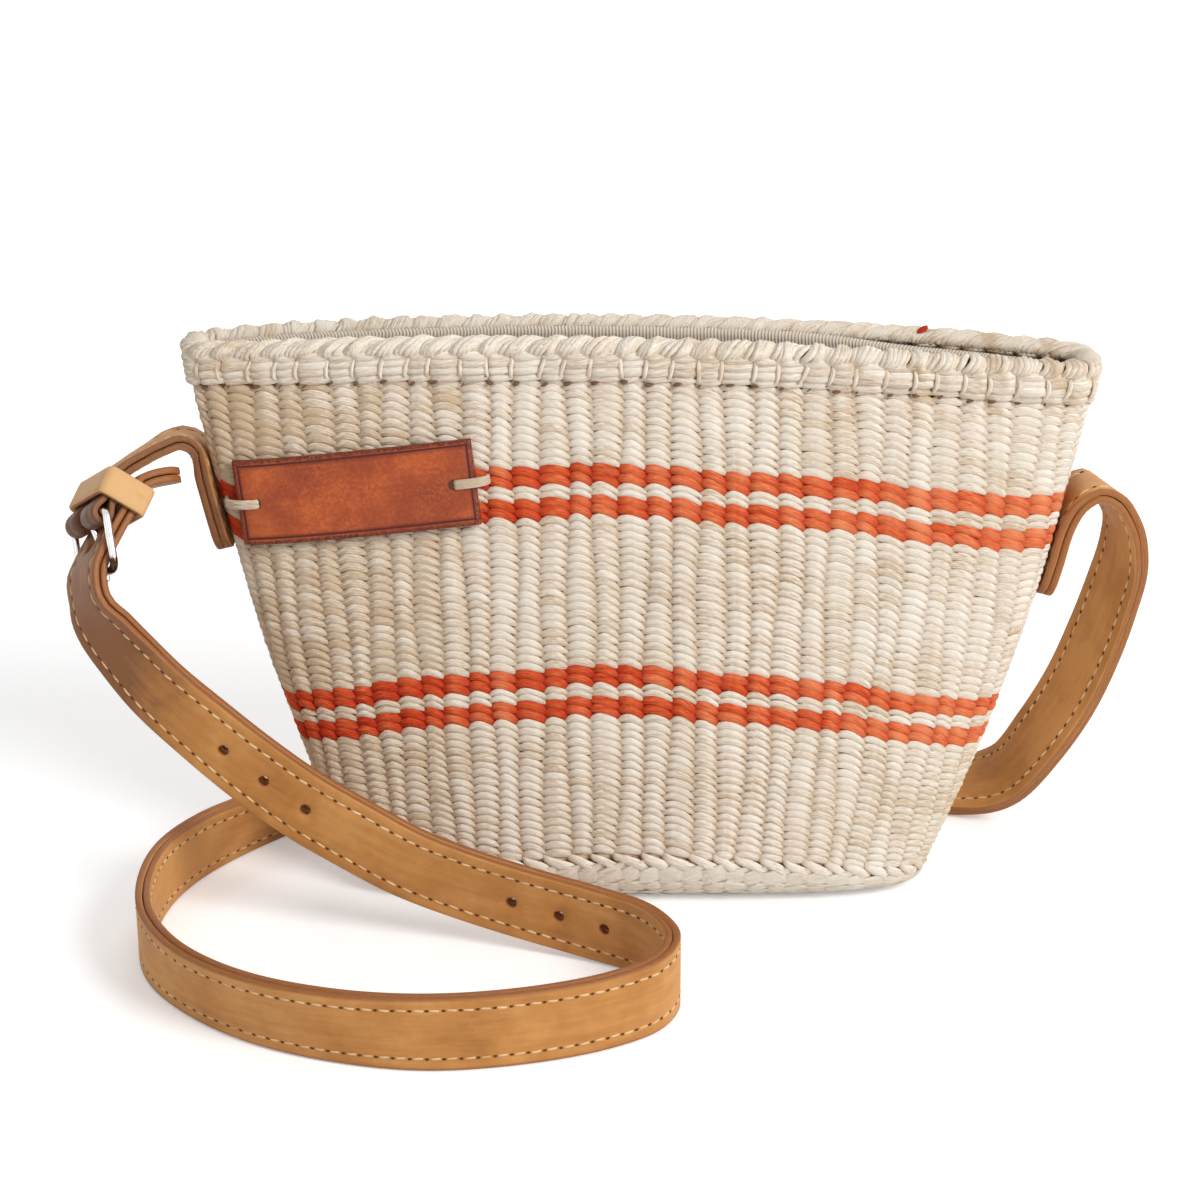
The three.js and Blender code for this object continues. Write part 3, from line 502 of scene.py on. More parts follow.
def rim_uprights():
    """The binding thread, which stands as a pale bar in each gap."""
    rib, t, jitter = strands(3, 8)
    share = rib_share(rib + 0.03 * jitter[0] + (0.12 + 0.1 * jitter[1]) * (t - 0.5), 1.0)
    arch = arch_over(t, 0.5)
    at, around, out = rim_frames(share, 0.9 - 2.3 * arch, mix(0.2, 8.2, t))
    size = 0.42 + 0.3 * arch
    return fibre_part(at, around, out, size, 0.9 * size, 6, 0.4 * jitter[2] - 0.6)


def rim_shade_specks():
    """Dark specks at the foot of each upright, and smaller ones higher up: painted crevice shade, partly brown fibre
    stain. At the bag's ends they lie deeper.
    """
    parts = []
    for beside, height, size in ((0.15, -0.5, 0.95), (-0.15, 7.8, 0.5), (-0.14, 1.5, 0.42), (-0.13, 4.4, 0.32)):
        rib, t, jitter = strands(4, 6, -1, 1)
        share = rib_share(rib + beside + 0.04 * jitter[0] + 0.06 * t, 1.0)
        inset = 0.1 * jitter[1] - 0.5 + 1.1 * smooth((abs(wall_point(share, 1.0)[..., 0]) - 98) / 15)
        at, around, out = rim_frames(share, inset, height + 0.3 * jitter[2] + 0.6 * size * t)
        sizes = size * np.clip(0.85 + 0.4 * jitter[3], 0.3, 1.3) * rounded(t, 0.9)
        parts.append(fibre_part(at, around, out, sizes, 0.7 * sizes, 6, 0.0, 1.1))
    return parts


def dyed_fleck():
    """One tuft of dyed fibre caught in the far rim."""
    shares = np.linspace(0, 1, 2000)
    edge = wall_point(shares, 1.0)
    found = shares[np.argmin(abs(edge[:, 0] - FLECK_X) + 1e3 * (edge[:, 1] < 0))]
    t = np.linspace(-1, 1, 7)[None, :]
    at, around, _ = rim_frames(found + 0.0022 * t, 2.6 + 0.5 * t, 12.2 - 0.6 * t)
    out = unit(np.array([0.0, -0.5, 1.0]))
    size = 1.15 * rounded(t, 0.85)
    return fibre_part(at, unit(np.cross(out, around)), out, size, 0.6 * size, 8, -4.5, 0.62)


def rim_inner_bundles():
    """Inside the mouth the wraps end over a course of short bundles."""
    rib, t, jitter = strands(2, 7)
    share = rib_share(rib + 0.5 + mix(-0.06, 1.06, t), 1.0)
    arch = arch_over(t, 0.6)
    at, _, out = rim_frames(share, 2.4 + arch, 8.6 + 0.2 * jitter[0])
    return fibre_part(at, UPRIGHT, -out, 1.45 * (0.5 + 0.5 * arch), 0.5 + 0.7 * arch, 6, jitter[1], 0.85 * (1 - arch))


# Lining: how far its two faces are behind the wall. Its top: height and how far forward


LINING_FACES = (0.1, 0.8)
LINING_TOP = ((2.5, 0.3), (5.0, 1.1), (7.2, 1.8), (8.6, 1.9), (9.4, 1.0))


def lining_bag():
    """A cloth bag inside the wall, a little slack, hung from under the rim."""
    shares = np.linspace(0, 1, 300, endpoint=False)
    ripple = lambda level: 0.35 * np.sin(shares * 75 + level * 7) * np.sin(shares * 23 + level * 3)
    to_the_right = smooth((wall_point(shares, 1)[:, 0] - 40) / 50)
    skin = lambda depth: [turn_point(shares, bend, depth + 0.3, depth) for bend in np.linspace(0, 1, 6)[:-1]] \
        + [wall_point(shares, rise, depth + 0.4 + ripple(rise * 3)) for rise in np.linspace(0, 1, 26)] \
        + [wall_point(shares, 1, depth + 0.4 + forward + ripple(3.0), lift * (1 - 0.25 * to_the_right))
           for lift, forward in LINING_TOP]
    rings = skin(WALL_THICKNESS + LINING_FACES[0]) + skin(WALL_THICKNESS + LINING_FACES[1])[::-1]
    grain = [np.stack([shares * 520, np.full_like(shares, ring[:, 2].mean()), 0 * shares], -1) for ring in rings]
    return ring_loft(rings, grain=np.concatenate(grain))


# Leather strips. A stop is a place on the middle line with the direction across the strip.


def catmull_rom(values, t, centripetal=True):
    values = np.asarray(values, float)
    extended = np.vstack([2 * values[0] - values[1], values, 2 * values[-1] - values[-2]])
    start = np.clip(np.floor(t).astype(int), 0, len(values) - 2)
    w = (t - start)[:, None]
    p0, p1, p2, p3 = (extended[start + k] for k in range(4))
    if centripetal:
        step = lambda a, b: np.sqrt(np.linalg.norm(b - a, axis=1, keepdims=True))
        d0, d1, d2 = step(p0, p1), step(p1, p2), step(p2, p3)
        leave = ((p1 - p0) / d0 - (p2 - p0) / (d0 + d1) + (p2 - p1) / d1) * d1
        arrive = ((p2 - p1) / d1 - (p3 - p1) / (d1 + d2) + (p3 - p2) / d2) * d1
    else:
        leave, arrive = 0.5 * (p2 - p0), 0.5 * (p3 - p1)
    a = 2 * p1 - 2 * p2 + leave + arrive
    b = -3 * p1 + 3 * p2 - 2 * leave - arrive
    return ((a * w + b) * w + leave) * w + p1


def walked_along(places):
    """The distance along a path at each of its places."""
    return np.concatenate([[0], np.cumsum(np.linalg.norm(np.diff(places, axis=0), axis=1))])


def sweep(at, across, out, u, v, walked):
    """Carries a section along places: u lies across and v outwards. Gives the points and their grain."""
    u, v, walked = np.broadcast_arrays(u, v, walked[:, None])
    across, out = (np.broadcast_to(way, at.shape)[:, None] for way in (across, out))
    points = at[:, None] + across * u[..., None] + out * v[..., None]
    return points.reshape(-1, 3), np.stack([walked, u, v], -1).reshape(-1, 3)


def rounded_loop(low, high, corner, step):
    """A rectangle with round corners, as flat points at every step of so many degrees."""
    turn = np.arange(0, 91, step)
    angle = np.radians(np.concatenate([start + turn for start in (-90, 0, 90, 180)]))
    left, bottom, right, top = low[0] + corner, low[1] + corner, high[0] - corner, high[1] - corner
    centres = np.repeat([(right, bottom), (right, top), (left, top), (left, bottom)], len(turn), 0)
    return centres + corner * np.stack([np.cos(angle), np.sin(angle)], -1)


def strip_curve(stops):
    at, across = (np.array(values) for values in zip(*stops))
    t = np.linspace(0, len(stops) - 1, (len(stops) - 1) * 24 + 1)
    centre = catmull_rom(at, t)
    heading = unit(np.gradient(centre, axis=0))
    edge = catmull_rom(across, t, False)
    edge = unit(edge - heading * np.sum(edge * heading, -1, keepdims=True))
    return {"distance": walked_along(centre), "at": centre, "across": edge, "out": np.cross(heading, edge)}


def strip_at(curve, distance):
    pick = lambda key: np.stack([np.interp(distance, curve["distance"], line) for line in curve[key].T], -1)
    return pick("at"), unit(pick("across")), unit(pick("out"))


def place(x, y, z):
    return np.array([x * MOUTH_HALF_WIDTH, y * BASE_HALF_DEPTH, z * BASKET_HEIGHT])


def square(direction, to):
    direction = np.asarray(direction, float)
    return unit(direction - to * (direction @ to))


joints = {joint["name"]: joint for joint in frame["joints"]}
hinge, slide = joints["buckle_swing"], joints["keeper_slide"]
HEEL = np.array(hinge["pos_m"]) / MM
ACROSS_BAR = unit(np.array(hinge["axis"]))
DOWN = square((0.18, -0.5, -0.84), ACROSS_BAR)
INWARD = np.cross(ACROSS_BAR, DOWN)
TAB_RISE = square(slide["axis"], ACROSS_BAR)
TAB_INWARD = np.cross(TAB_RISE, ACROSS_BAR)

WIRE_RADIUS = 1.15
BUCKLE_LENGTH, BUCKLE_SIDE_GAP, BUCKLE_CORNER = 16.2, 0.65, 2.2
PRONG_RADIUS, PRONG_TIP, PRONG_EYE_WALL = 0.9, 1.6, 1.2
KEEPER_WIDTH, KEEPER_THICKNESS, KEEPER_GAP, KEEPER_DISTANCE = 8.5, 1.6, 0.6, 8.3
TAB_FLARE, TAB_STRAIGHT = 5.0, 19.0
FOLD_RADIUS = WIRE_RADIUS + SEAT_GAP + LEATHER / 2
HEEL_PASS = FOLD_RADIUS + LEATHER / 2 + SEAT_GAP + HALF_STACK
END_PASS = WIRE_RADIUS + SEAT_GAP + HALF_STACK
TAIL_LIFT = HEEL_PASS + 0.5
LAYER_OFFSET = (LEATHER + LAYER_GAP) / 2

# Stops of the leather strips. Place as shares of the basket's half width, half depth and height, and the
# direction across the strip. On the floor: place and how many degrees the strap leans. For the tail: how far up the
# tab and away from it, as shares of its straight run, and the direction across
TAB_ARCH = [
    (-0.984, -0.006, 0.767, 0.02, -1, 0.03), (-1.007, -0.026, 0.787, 0.1, -0.97, 0.12),
    (-1.042, -0.08, 0.794, 0.2, -0.93, 0.25), (-1.085, -0.183, 0.785, 0.31, -0.87, 0.36),
    (-1.125, -0.303, 0.774, 0.4, -0.8, 0.44),
]
TAIL_SHARES = [
    (1.263, 0.863, 0.2, -0.9, 0.38), (1.105, 0.663, 0.3, -0.86, 0.42), (0.895, 0.453, 0.4, -0.8, 0.45),
]
STRAND_PLACES = [
    (-1.18, -1.137, 0.544, 0.64, -0.56, 0.52), (-1.130, -1.145, 0.490, 0.66, -0.43, 0.62),
    (-1.064, -1.202, 0.434, 0.64, -0.31, 0.7), (-0.969, -1.259, 0.369, 0.6, -0.21, 0.77),
    (-0.866, -1.331, 0.305, 0.56, -0.14, 0.82), (-0.754, -1.402, 0.244, 0.5, -0.09, 0.86),
    (-0.637, -1.485, 0.195, 0.43, -0.07, 0.9), (-0.517, -1.545, 0.147, 0.33, -0.08, 0.94),
    (-0.397, -1.616, 0.115, 0.22, -0.08, 0.97), (-0.262, -1.716, 0.089, 0.13, -0.05, 0.99),
    (-0.105, -1.902, 0.070, 0.05, 0, 1),
]
FLOOR_PLACES = [
    (-0.004, -2.12, 0), (0.045, -2.38, 0), (0.066, -2.68, 0), (0.03, -3.06, 0), (-0.068, -3.35, 0), (-0.24, -3.6, 0),
    (-0.447, -3.715, 0), (-0.635, -3.63, 6), (-0.828, -3.34, 10), (-0.976, -2.88, 10), (-1.07, -2.3, 4),
    (-1.098, -1.686, 0), (-1.078, -1.03, -3), (-1.01, -0.48, -10), (-0.885, 0.08, -19), (-0.719, 0.686, -14),
    (-0.479, 1.2, 0), (-0.2, 1.429, 0), (0.12, 1.471, 0), (0.4, 1.414, 24), (0.583, 1.286, 60), (0.695, 1.157, 83),
]
ARCH_PLACES = [
    (0.783, 0.986, 0.0475, -0.2, 0.97, 0.18), (0.863, 0.771, 0.089, -0.25, 0.93, 0.33),
    (0.935, 0.529, 0.1871, -0.38, 0.85, 0.36), (0.998, 0.414, 0.2859, -0.45, 0.82, 0.35),
    (1.045, 0.323, 0.3902, -0.48, 0.82, 0.31), (1.078, 0.237, 0.4871, -0.46, 0.85, 0.27),
    (1.097, 0.16, 0.5644, -0.42, 0.88, 0.2), (1.094, 0.1, 0.6258, -0.33, 0.94, 0.05),
    (1.075, 0.071, 0.6613, -0.3, 0.95, -0.05), (1.048, 0.051, 0.6914, -0.27, 0.96, -0.08),
    (1.011, 0.031, 0.7049, -0.18, 0.98, -0.06), (0.981, 0.014, 0.6908, -0.06, 0.99, 0),
]
TAB_FOOT_HEIGHT, TAB_FOOT_LENGTH = 98.0, 22.0
STRAP_FOOT_HEIGHT, STRAP_FOOT_LENGTH = 84.0, 22.0


def rise_of_row(across_at, height):
    low, high = 0.0, 1.0
    for _ in range(40):
        middle = (low + high) / 2
        if row_height(middle, across_at(middle)) < height:
            low = middle
        else:
            high = middle
    return low


def foot_stop(side, height):
    width_at = lambda z: half_width_at(rise_of_row(lambda rise: side, z))
    slope = (width_at(height + SEAT_GAP) - width_at(height)) / SEAT_GAP
    reach = width_at(height) + (SEAT_GAP + HALF_STACK) * math.hypot(1, slope)
    return np.array([side * reach, 0, height]), np.array([0, side, 0])


def free_stops(places):
    return [(place(*row[:3]), np.array(row[3:], float)) for row in places]


def tail_stops():
    """The tail of the strap: from its free end down along the tab and through the keeper."""
    spot = lambda rise, lift: HEEL + TAB_RISE * rise + TAB_INWARD * lift
    stops = [(spot(rise * TAB_STRAIGHT, lift * TAB_STRAIGHT), np.array(across)) for rise, lift, *across in TAIL_SHARES]
    reach = KEEPER_WIDTH / 2 + KEEPER_GAP
    held = [spot(KEEPER_DISTANCE + reach, TAIL_LIFT), spot(KEEPER_DISTANCE, TAIL_LIFT),
            spot(KEEPER_DISTANCE - reach, mix(HEEL_PASS, TAIL_LIFT, 0.5))]
    return stops + [(at, ACROSS_BAR) for at in held]


def crossing_stops():
    """Through the buckle: inside its heel bar and outside its end bar."""
    lean = math.asin((HEEL_PASS + END_PASS) / BUCKLE_LENGTH)
    spots = [(HEEL_PASS * math.sin(lean), HEEL_PASS * math.cos(lean)),
             (BUCKLE_LENGTH - END_PASS * math.sin(lean), -END_PASS * math.cos(lean)),
             (BUCKLE_LENGTH, -END_PASS), (BUCKLE_LENGTH + END_ROUNDING, -END_PASS)]
    return [(HEEL + DOWN * reach + INWARD * lift, ACROSS_BAR) for reach, lift in spots]


def floor_stops():
    spots = np.array([(x * MOUTH_HALF_WIDTH, y * BASE_HALF_DEPTH) for x, y, _ in FLOOR_PLACES])
    stops = []
    for i, (_, _, lean) in enumerate(FLOOR_PLACES):
        tilt = math.radians(abs(lean))
        height = STRAP_WIDTH / 2 * math.cos(tilt) + HALF_STACK * math.sin(tilt) + SEAT_GAP
        heading = unit(spots[min(i + 1, len(spots) - 1)] - spots[max(i - 1, 0)])
        sideways = np.sign(lean) * math.sin(tilt)
        across = np.array([-heading[1] * sideways, heading[0] * sideways, math.cos(tilt)])
        stops.append((np.array([spots[i][0], spots[i][1], height]), across))
    return stops


def strap_curve():
    feet = [foot_stop(1, STRAP_FOOT_HEIGHT + share * STRAP_FOOT_LENGTH) for share in (1, 0.5, 0)]
    return strip_curve(tail_stops() + crossing_stops() + free_stops(STRAND_PLACES) + floor_stops()
                       + free_stops(ARCH_PLACES) + feet)


def tab_curve():
    feet = [foot_stop(-1, TAB_FOOT_HEIGHT + share * TAB_FOOT_LENGTH) for share in (0, 0.5, 1)]
    straight = [(HEEL + TAB_RISE * share * TAB_STRAIGHT, ACROSS_BAR) for share in (0.66, 0.33, 0)]
    return strip_curve(feet + free_stops(TAB_ARCH) + straight)


# Where the rings and columns of a strip are near a hole and near the slot of the tab
HOLE_PATCH = (-4.0, -2.0, 0.0, 2.0, 4.0)
SLOT_PATCH = (-1.7, -0.6, 0.0, 0.6, 1.7)
FIRST_COLUMN = 4
HOLE_LIP = 0.35
RING_SPACING = 2.0


def leather_profile(low, high, columns):
    """Section of a strip, anticlockwise from the lower left: (across, thickness, edge mark). Corners are rounded."""
    half, big, small, middle = STRAP_WIDTH / 2, 0.75, 0.35, (low + high) / 2
    groove = half - STITCH_INSET
    face = [-groove - 0.9, -groove, -groove + 0.9, *columns, groove - 0.9, groove, groove + 0.9]
    sunk = lambda u: GROOVE_DEPTH if abs(abs(u) - groove) < 0.1 else 0.0
    lower = [(-half + small, low, 0.8)] + [(u, low + sunk(u), 0.0) for u in face] + [(half - small, low, 0.8)]
    side = [(half, low + small, 1.0), (half, middle, 1.0)]
    side += [(half - big + big * math.cos(a), high - big + big * math.sin(a), math.cos(a))
             for a in np.radians([0, 30, 60, 90])]
    upper = [(u, high - sunk(u), 0.0) for u in face[::-1]]
    return np.array(lower + side + upper + [(-u, v, e) for u, v, e in side[::-1]])


def ring_distances(length, holes=()):
    """Where the rings of a strip are: closer at its round ends, and lined up with the punched holes."""
    ends = [0.0] + [END_ROUNDING * (1 - math.cos(a)) for a in np.radians([18, 32, 46, 60, 75, 90])]
    fixed = sorted(ends + [length - d for d in ends] + [hole + offset for hole, _ in holes for offset in HOLE_PATCH])
    spans = [np.linspace(a, b, max(1, round((b - a) / RING_SPACING)), endpoint=False)
             for a, b in zip(fixed, fixed[1:])]
    return np.concatenate(spans + [fixed[-1:]])


def end_width(distance, length):
    return rounded(np.clip(1 - np.minimum(distance, length - distance) / END_ROUNDING, 0, 1), 0.93)


def punch_strip(points, grain, edge, quads, rings, profile, holes):
    """Takes a square patch out of both faces at each hole and fits a round hole into it."""
    sides = len(profile)
    last = np.flatnonzero(abs(profile[:, 0] - HOLE_PATCH[0]) < 1e-6)[-1]
    faces = ((FIRST_COLUMN + np.arange(5), -1), (last - np.arange(5), 1))
    ring_of, column_of = np.divmod(quads[:, 0], sides)
    walk = [(-2, k) for k in range(4)] + [(k - 2, 4) for k in range(4)] \
        + [(2, 4 - k) for k in range(4)] + [(2 - k, 0) for k in range(4)]
    angle = np.array([math.atan2(HOLE_PATCH[c], HOLE_PATCH[d + 2]) for d, c in walk])[:, None]
    after = np.roll(np.arange(len(walk)), -1)
    band = lambda near, far: np.stack([near, near[after], far[after], far], -1)
    kept, new_quads = np.ones(len(quads), bool), []
    for hole, (long_radius, wide_radius) in holes:
        middle = int(np.argmin(abs(rings - hole)))
        spot = lambda ring, column: points[(middle + ring) * sides + column]
        inwards = unit(spot(0, faces[0][0][2]) - spot(0, faces[1][0][2]))
        mouths = []
        for columns, sign in faces:
            kept &= (ring_of < middle - 2) | (ring_of >= middle + 2) | (column_of < min(columns)) \
                | (column_of >= max(columns))
            border = np.array([(middle + d) * sides + columns[c] for d, c in walk])
            centre = spot(0, columns[2])
            along = unit(spot(1, columns[2]) - spot(-1, columns[2]))
            across = unit(spot(0, columns[3]) - spot(0, columns[1]))
            oval = lambda wider: centre + along * (long_radius + wider) * np.cos(angle) \
                + across * (wide_radius + wider) * np.sin(angle)
            lip = len(points) + np.arange(len(walk))
            mouths.append(lip + len(walk))
            points = np.vstack([points, oval(HOLE_LIP), oval(0) + inwards * 0.3 * sign])
            grain = np.vstack([grain, grain[border], grain[border]])
            edge = np.concatenate([edge, np.full(len(walk), 0.35), np.ones(len(walk))])
            new_quads += [ring[:, ::sign] for ring in (band(border, lip), band(lip, mouths[-1]))]
        new_quads.append(band(*mouths)[:, [1, 0, 3, 2]])
    return points, grain, edge, np.vstack([quads[kept]] + new_quads)


def strap_layer(curve, low, high, holes):
    """One layer of the strap, with its holes."""
    length = curve["distance"][-1]
    rings = ring_distances(length, holes)
    profile = leather_profile(low, high, HOLE_PATCH)
    across_at = profile[:, 0] * end_width(rings, length)[:, None]
    points, grain = sweep(*strip_at(curve, rings), across_at, profile[:, 1], rings)
    edge = np.maximum(profile[:, 2], ((rings < 1) | (rings > length - 1))[:, None]).ravel()
    quads, *caps = ring_faces(1, len(rings), len(profile))
    points, grain, edge, quads = punch_strip(points, grain, edge, quads, rings, profile, holes)
    return make_part(points, [quads, *caps], grain=grain, edge=edge, tone=strap_light_and_shade(grain[:, 0]))


def thread_stitches(curve, start, end, level):
    """Rows of stitches along both edges of both faces, with a needle hole between every two."""
    threads, pricks = [], []
    count = int((end - start) / STITCH_PITCH)
    middles = start + (np.arange(count) + 0.5) * (end - start) / count
    t = np.linspace(-0.5, 0.5, 6)
    arch = np.sqrt(np.clip(1 - (2 * t) ** 2, 0, 1))
    size = THREAD_RADIUS * (0.55 + 0.45 * arch)
    for inset in (STITCH_INSET - STRAP_WIDTH / 2, STRAP_WIDTH / 2 - STITCH_INSET):
        for face in (1, -1):
            jitter = rng.normal(0, 1, (3, count, 1))
            at, across, out = strip_at(curve, middles[:, None] + STITCH_LENGTH * t + 0.12 * jitter[0])
            aside = inset + 0.28 * t * np.sign(inset) + 0.06 * jitter[1]
            centre = at + across * aside[..., None] + out * face * (level - 0.5 + 0.5 * arch)[:, None]
            threads.append(fibre_part(centre, across, out * face, size, size, 6, jitter[2]))
            pricks.append(needle_holes(curve, middles + STITCH_PITCH / 2, inset, face, level))
    return threads, pricks


def needle_holes(curve, distances, inset, face, level):
    """Small dark pricks, the painted shade of needle holes: flat lenses let into the leather."""
    at, across, out = (way[:, None] for way in strip_at(curve, distances))
    depths, sizes = np.array([(-0.16, 0.2), (-0.1, 0.45), (0.0, 0.55), (0.1, 0.5), (0.14, 0.3)]).T
    centre = at + across * inset + out * face * (level - 0.02 + depths[:, None])
    return fibre_part(centre, across, np.cross(across, out), sizes, 1.15 * sizes, 10, 0.0, 1.0)


def tab_part(curve):
    """The tab: one strip up from its foot, round the heel bar of the buckle and back, slotted for the prong."""
    length = curve["distance"][-1]
    rings = np.concatenate([ring_distances(length - 12)[:-1], np.linspace(length - 12, length, 13)])
    at, across, out = strip_at(curve, rings)
    profile = leather_profile(-LEATHER / 2, LEATHER / 2, SLOT_PATCH)
    flare = smooth(1 - np.linalg.norm(at - HEEL, axis=1) / TAB_FLARE)
    lift = out * mix(LAYER_OFFSET, FOLD_RADIUS, flare)[:, None]
    width = end_width(np.minimum(rings, length / 2), length)
    folds = np.radians(np.arange(15, 180, 15))[:, None]
    fold_out = out[-1] * np.cos(folds) - TAB_RISE * np.sin(folds)
    places = np.vstack([at + lift, HEEL + fold_out * FOLD_RADIUS, (at - lift)[::-1]])
    crossways = np.vstack([across, across[-1] + 0 * folds, across[::-1]])
    widths = np.concatenate([width, np.ones(len(folds)), width[::-1]])
    walked = walked_along(places)
    points, grain = sweep(places, crossways, np.vstack([out, fold_out, -out[::-1]]), profile[:, 0] * widths[:, None],
                          profile[:, 1], walked)
    quads, *caps = ring_faces(1, len(places), len(profile))
    middle, reach = len(places) // 2, len(folds) // 2 + 6
    tone = 0.4 - 3.0 * smooth(1 - abs(walked - walked[-1] / 2) / 24)
    return make_part(points, [slot_strip(quads, middle - reach, middle + reach, profile), *caps], grain=grain,
                     edge=np.tile(profile[:, 2], len(places)), tone=np.repeat(tone, len(profile)))


def slot_strip(quads, start, end, profile):
    """Opens a slot along the middle of a strip between two of its rings."""
    sides = len(profile)
    a, b, c, d = np.flatnonzero(abs(abs(profile[:, 0]) - SLOT_PATCH[-1]) < 1e-6)
    ring_of, column_of = np.divmod(quads[:, 0], sides)
    in_slot = ((column_of >= a) & (column_of < b)) | ((column_of >= c) & (column_of < d))
    kept = ~in_slot | (ring_of < start) | (ring_of >= end)
    rings = np.arange(start, end) * sides
    wall = lambda i, j: np.stack([rings + i, rings + j, rings + sides + j, rings + sides + i], -1)
    bottom, top = np.arange(a, b + 1), np.arange(d, c - 1, -1)
    close = np.stack([bottom[:-1], bottom[1:], top[1:], top[:-1]], -1)
    return np.vstack([quads[kept], wall(a, d)[:, ::-1], wall(b, c), close + start * sides,
                      close[:, ::-1] + end * sides])


def keeper_part():
    """A flat band closed round the tab and the tail of the strap, with soft worn edges."""
    room = KEEPER_GAP + KEEPER_THICKNESS / 2
    corner = np.array([STRAP_WIDTH / 2 + room, TAIL_LIFT + HALF_STACK + room])
    flat = densify(rounded_loop((-corner[0], -HALF_STACK - room), corner, 1.6, 15), 1.5)
    heading = unit(np.roll(flat, -1, 0) - np.roll(flat, 1, 0))
    outward = ACROSS_BAR * heading[:, 1:] - TAB_INWARD * heading[:, :1]
    half, thick, soft = KEEPER_WIDTH / 2, KEEPER_THICKNESS / 2, 0.45
    section = np.array([
        (-half + soft, -thick), (0, -thick), (half - soft, -thick), (half, -thick + soft), (half, thick - soft),
        (half - soft, thick), (half * 0.5, thick + 0.05), (-half * 0.5, thick + 0.05), (-half + soft, thick),
        (-half, thick - soft), (-half, -thick + soft)])
    spot = HEEL + TAB_RISE * KEEPER_DISTANCE + ACROSS_BAR * flat[:, :1] + TAB_INWARD * flat[:, 1:]
    points, grain = sweep(spot, TAB_RISE, outward, section[:, 0], section[:, 1], walked_along(flat))
    return make_part(points, ring_faces(1, len(flat), len(section), True), grain=grain, tone=1.2,
                     edge=np.tile(abs(section[:, 0]) > half - 0.2, len(flat)))


def densify(path, spacing):
    """Adds points along the straight runs of a closed path."""
    result = []
    for start, end in zip(path, np.roll(path, -1, 0)):
        length = np.linalg.norm(end - start)
        if length > 1e-6:
            result.append(np.linspace(start, end, max(1, round(length / spacing)), endpoint=False))
    return np.vstack(result)


# Buckle


def wire_part(places, radius, aside, closed, sides, painted_shade=0.0):
    """A round wire through places. Its radius may change along it, and shade may be painted on it in places."""
    heading = unit(np.roll(places, -1, 0) - np.roll(places, 1, 0)) if closed else unit(np.gradient(places, axis=0))
    side = unit(np.cross(heading, aside))
    turn = np.arange(sides)[:, None] / sides * 2 * math.pi
    ring = side[:, None] * np.cos(turn) + np.cross(side, heading)[:, None] * np.sin(turn)
    points = places[:, None] + ring * np.broadcast_to(radius, len(places))[:, None, None]
    dark = np.repeat(np.broadcast_to(painted_shade, len(places)), sides)
    return make_part(points, ring_faces(1, len(places), sides, closed), depth=dark)


def buckle_frame_part():
    """The wire of the frame, with painted shade, dark brown, at the corners of its far bar."""
    half = STRAP_WIDTH / 2 + BUCKLE_SIDE_GAP + WIRE_RADIUS
    flat = densify(rounded_loop((-half, 0), (half, BUCKLE_LENGTH), BUCKLE_CORNER, 10), 2.0)
    dark = smooth((flat[:, 1] - BUCKLE_LENGTH + 3.2) / 1.2) * smooth((abs(flat[:, 0]) - 7) / 2)
    return wire_part(HEEL + ACROSS_BAR * flat[:, :1] + DOWN * flat[:, 1:], WIRE_RADIUS, INWARD, True, 20, dark)


def prong_parts():
    """The tongue of the buckle and its eye round the heel bar."""
    rest = WIRE_RADIUS + SEAT_GAP + PRONG_RADIUS
    eye = WIRE_RADIUS + SEAT_GAP + PRONG_EYE_WALL / 2
    path = through([(eye, 0.2 * rest), (0.35 * BUCKLE_LENGTH, 0.62 * rest), (0.7 * BUCKLE_LENGTH, rest),
                    (BUCKLE_LENGTH, rest), (BUCKLE_LENGTH + PRONG_TIP, 0.9 * rest)], 30)
    to_tip = np.clip((np.linspace(-0.15, 1, 30) - 0.86) / 0.15, 0, 1)
    radius = PRONG_RADIUS * np.sqrt(np.clip(1 - to_tip ** 2, 0.05, 1))
    angle = np.linspace(0, 2 * math.pi, 40, endpoint=False)
    circle = eye * np.stack([np.cos(angle), np.sin(angle)], -1)
    spot = lambda flat: HEEL + DOWN * flat[:, :1] + INWARD * flat[:, 1:]
    return [wire_part(spot(path), radius, ACROSS_BAR, False, 16),
            wire_part(spot(circle), PRONG_EYE_WALL / 2 + 0.05, ACROSS_BAR, True, 14)]


# Label


LABEL_LENGTH, LABEL_HEIGHT, LABEL_THICKNESS = 67.0, 24.0, 3.0
LABEL_TILT = math.radians(7.2)
LABEL_X, LABEL_Z = -78.876, 118.99
LINE_TOP, LINE_FOOT, LINE_END, LINE_HALF = 10.7, -10.2, 32.1, 0.3
TIE_INSET, TIE_OVERHANG, TIE_RADIUS = 5.5, 3.2, 1.1
TIE_STRAND, TIE_SPREAD = (0.819, 0.624), 0.048


def front_point(x, z):
    rise = rise_of_row(lambda r: x / half_width_at(r), z)
    across = x / half_width_at(rise)
    share = (1 - abs(across) ** FACE_POWER) ** (1 / NOSE_POWER)
    return np.array([x, -half_depth_at(rise) * share * (1 + MOUTH_SKEW * rise * across), z])


def label_place(lengthwise):
    """Place, up and outward directions on the back of the label, which lies on the highest ribs under it."""
    c, s = math.cos(LABEL_TILT), math.sin(LABEL_TILT)
    spots = [front_point(LABEL_X + lengthwise * c - rise * s, LABEL_Z + lengthwise * s + rise * c)
             for rise in np.array([-0.5, -0.25, 0, 0.25, 0.5]) * LABEL_HEIGHT]
    up = unit(spots[-1] - spots[0])
    out = -unit(np.cross(up, (c, 0, s)))
    proud = max(0, *[(spot - spots[0]) @ out for spot in spots])
    return (spots[0] + spots[-1]) / 2 + out * (proud + 0.4), up, out


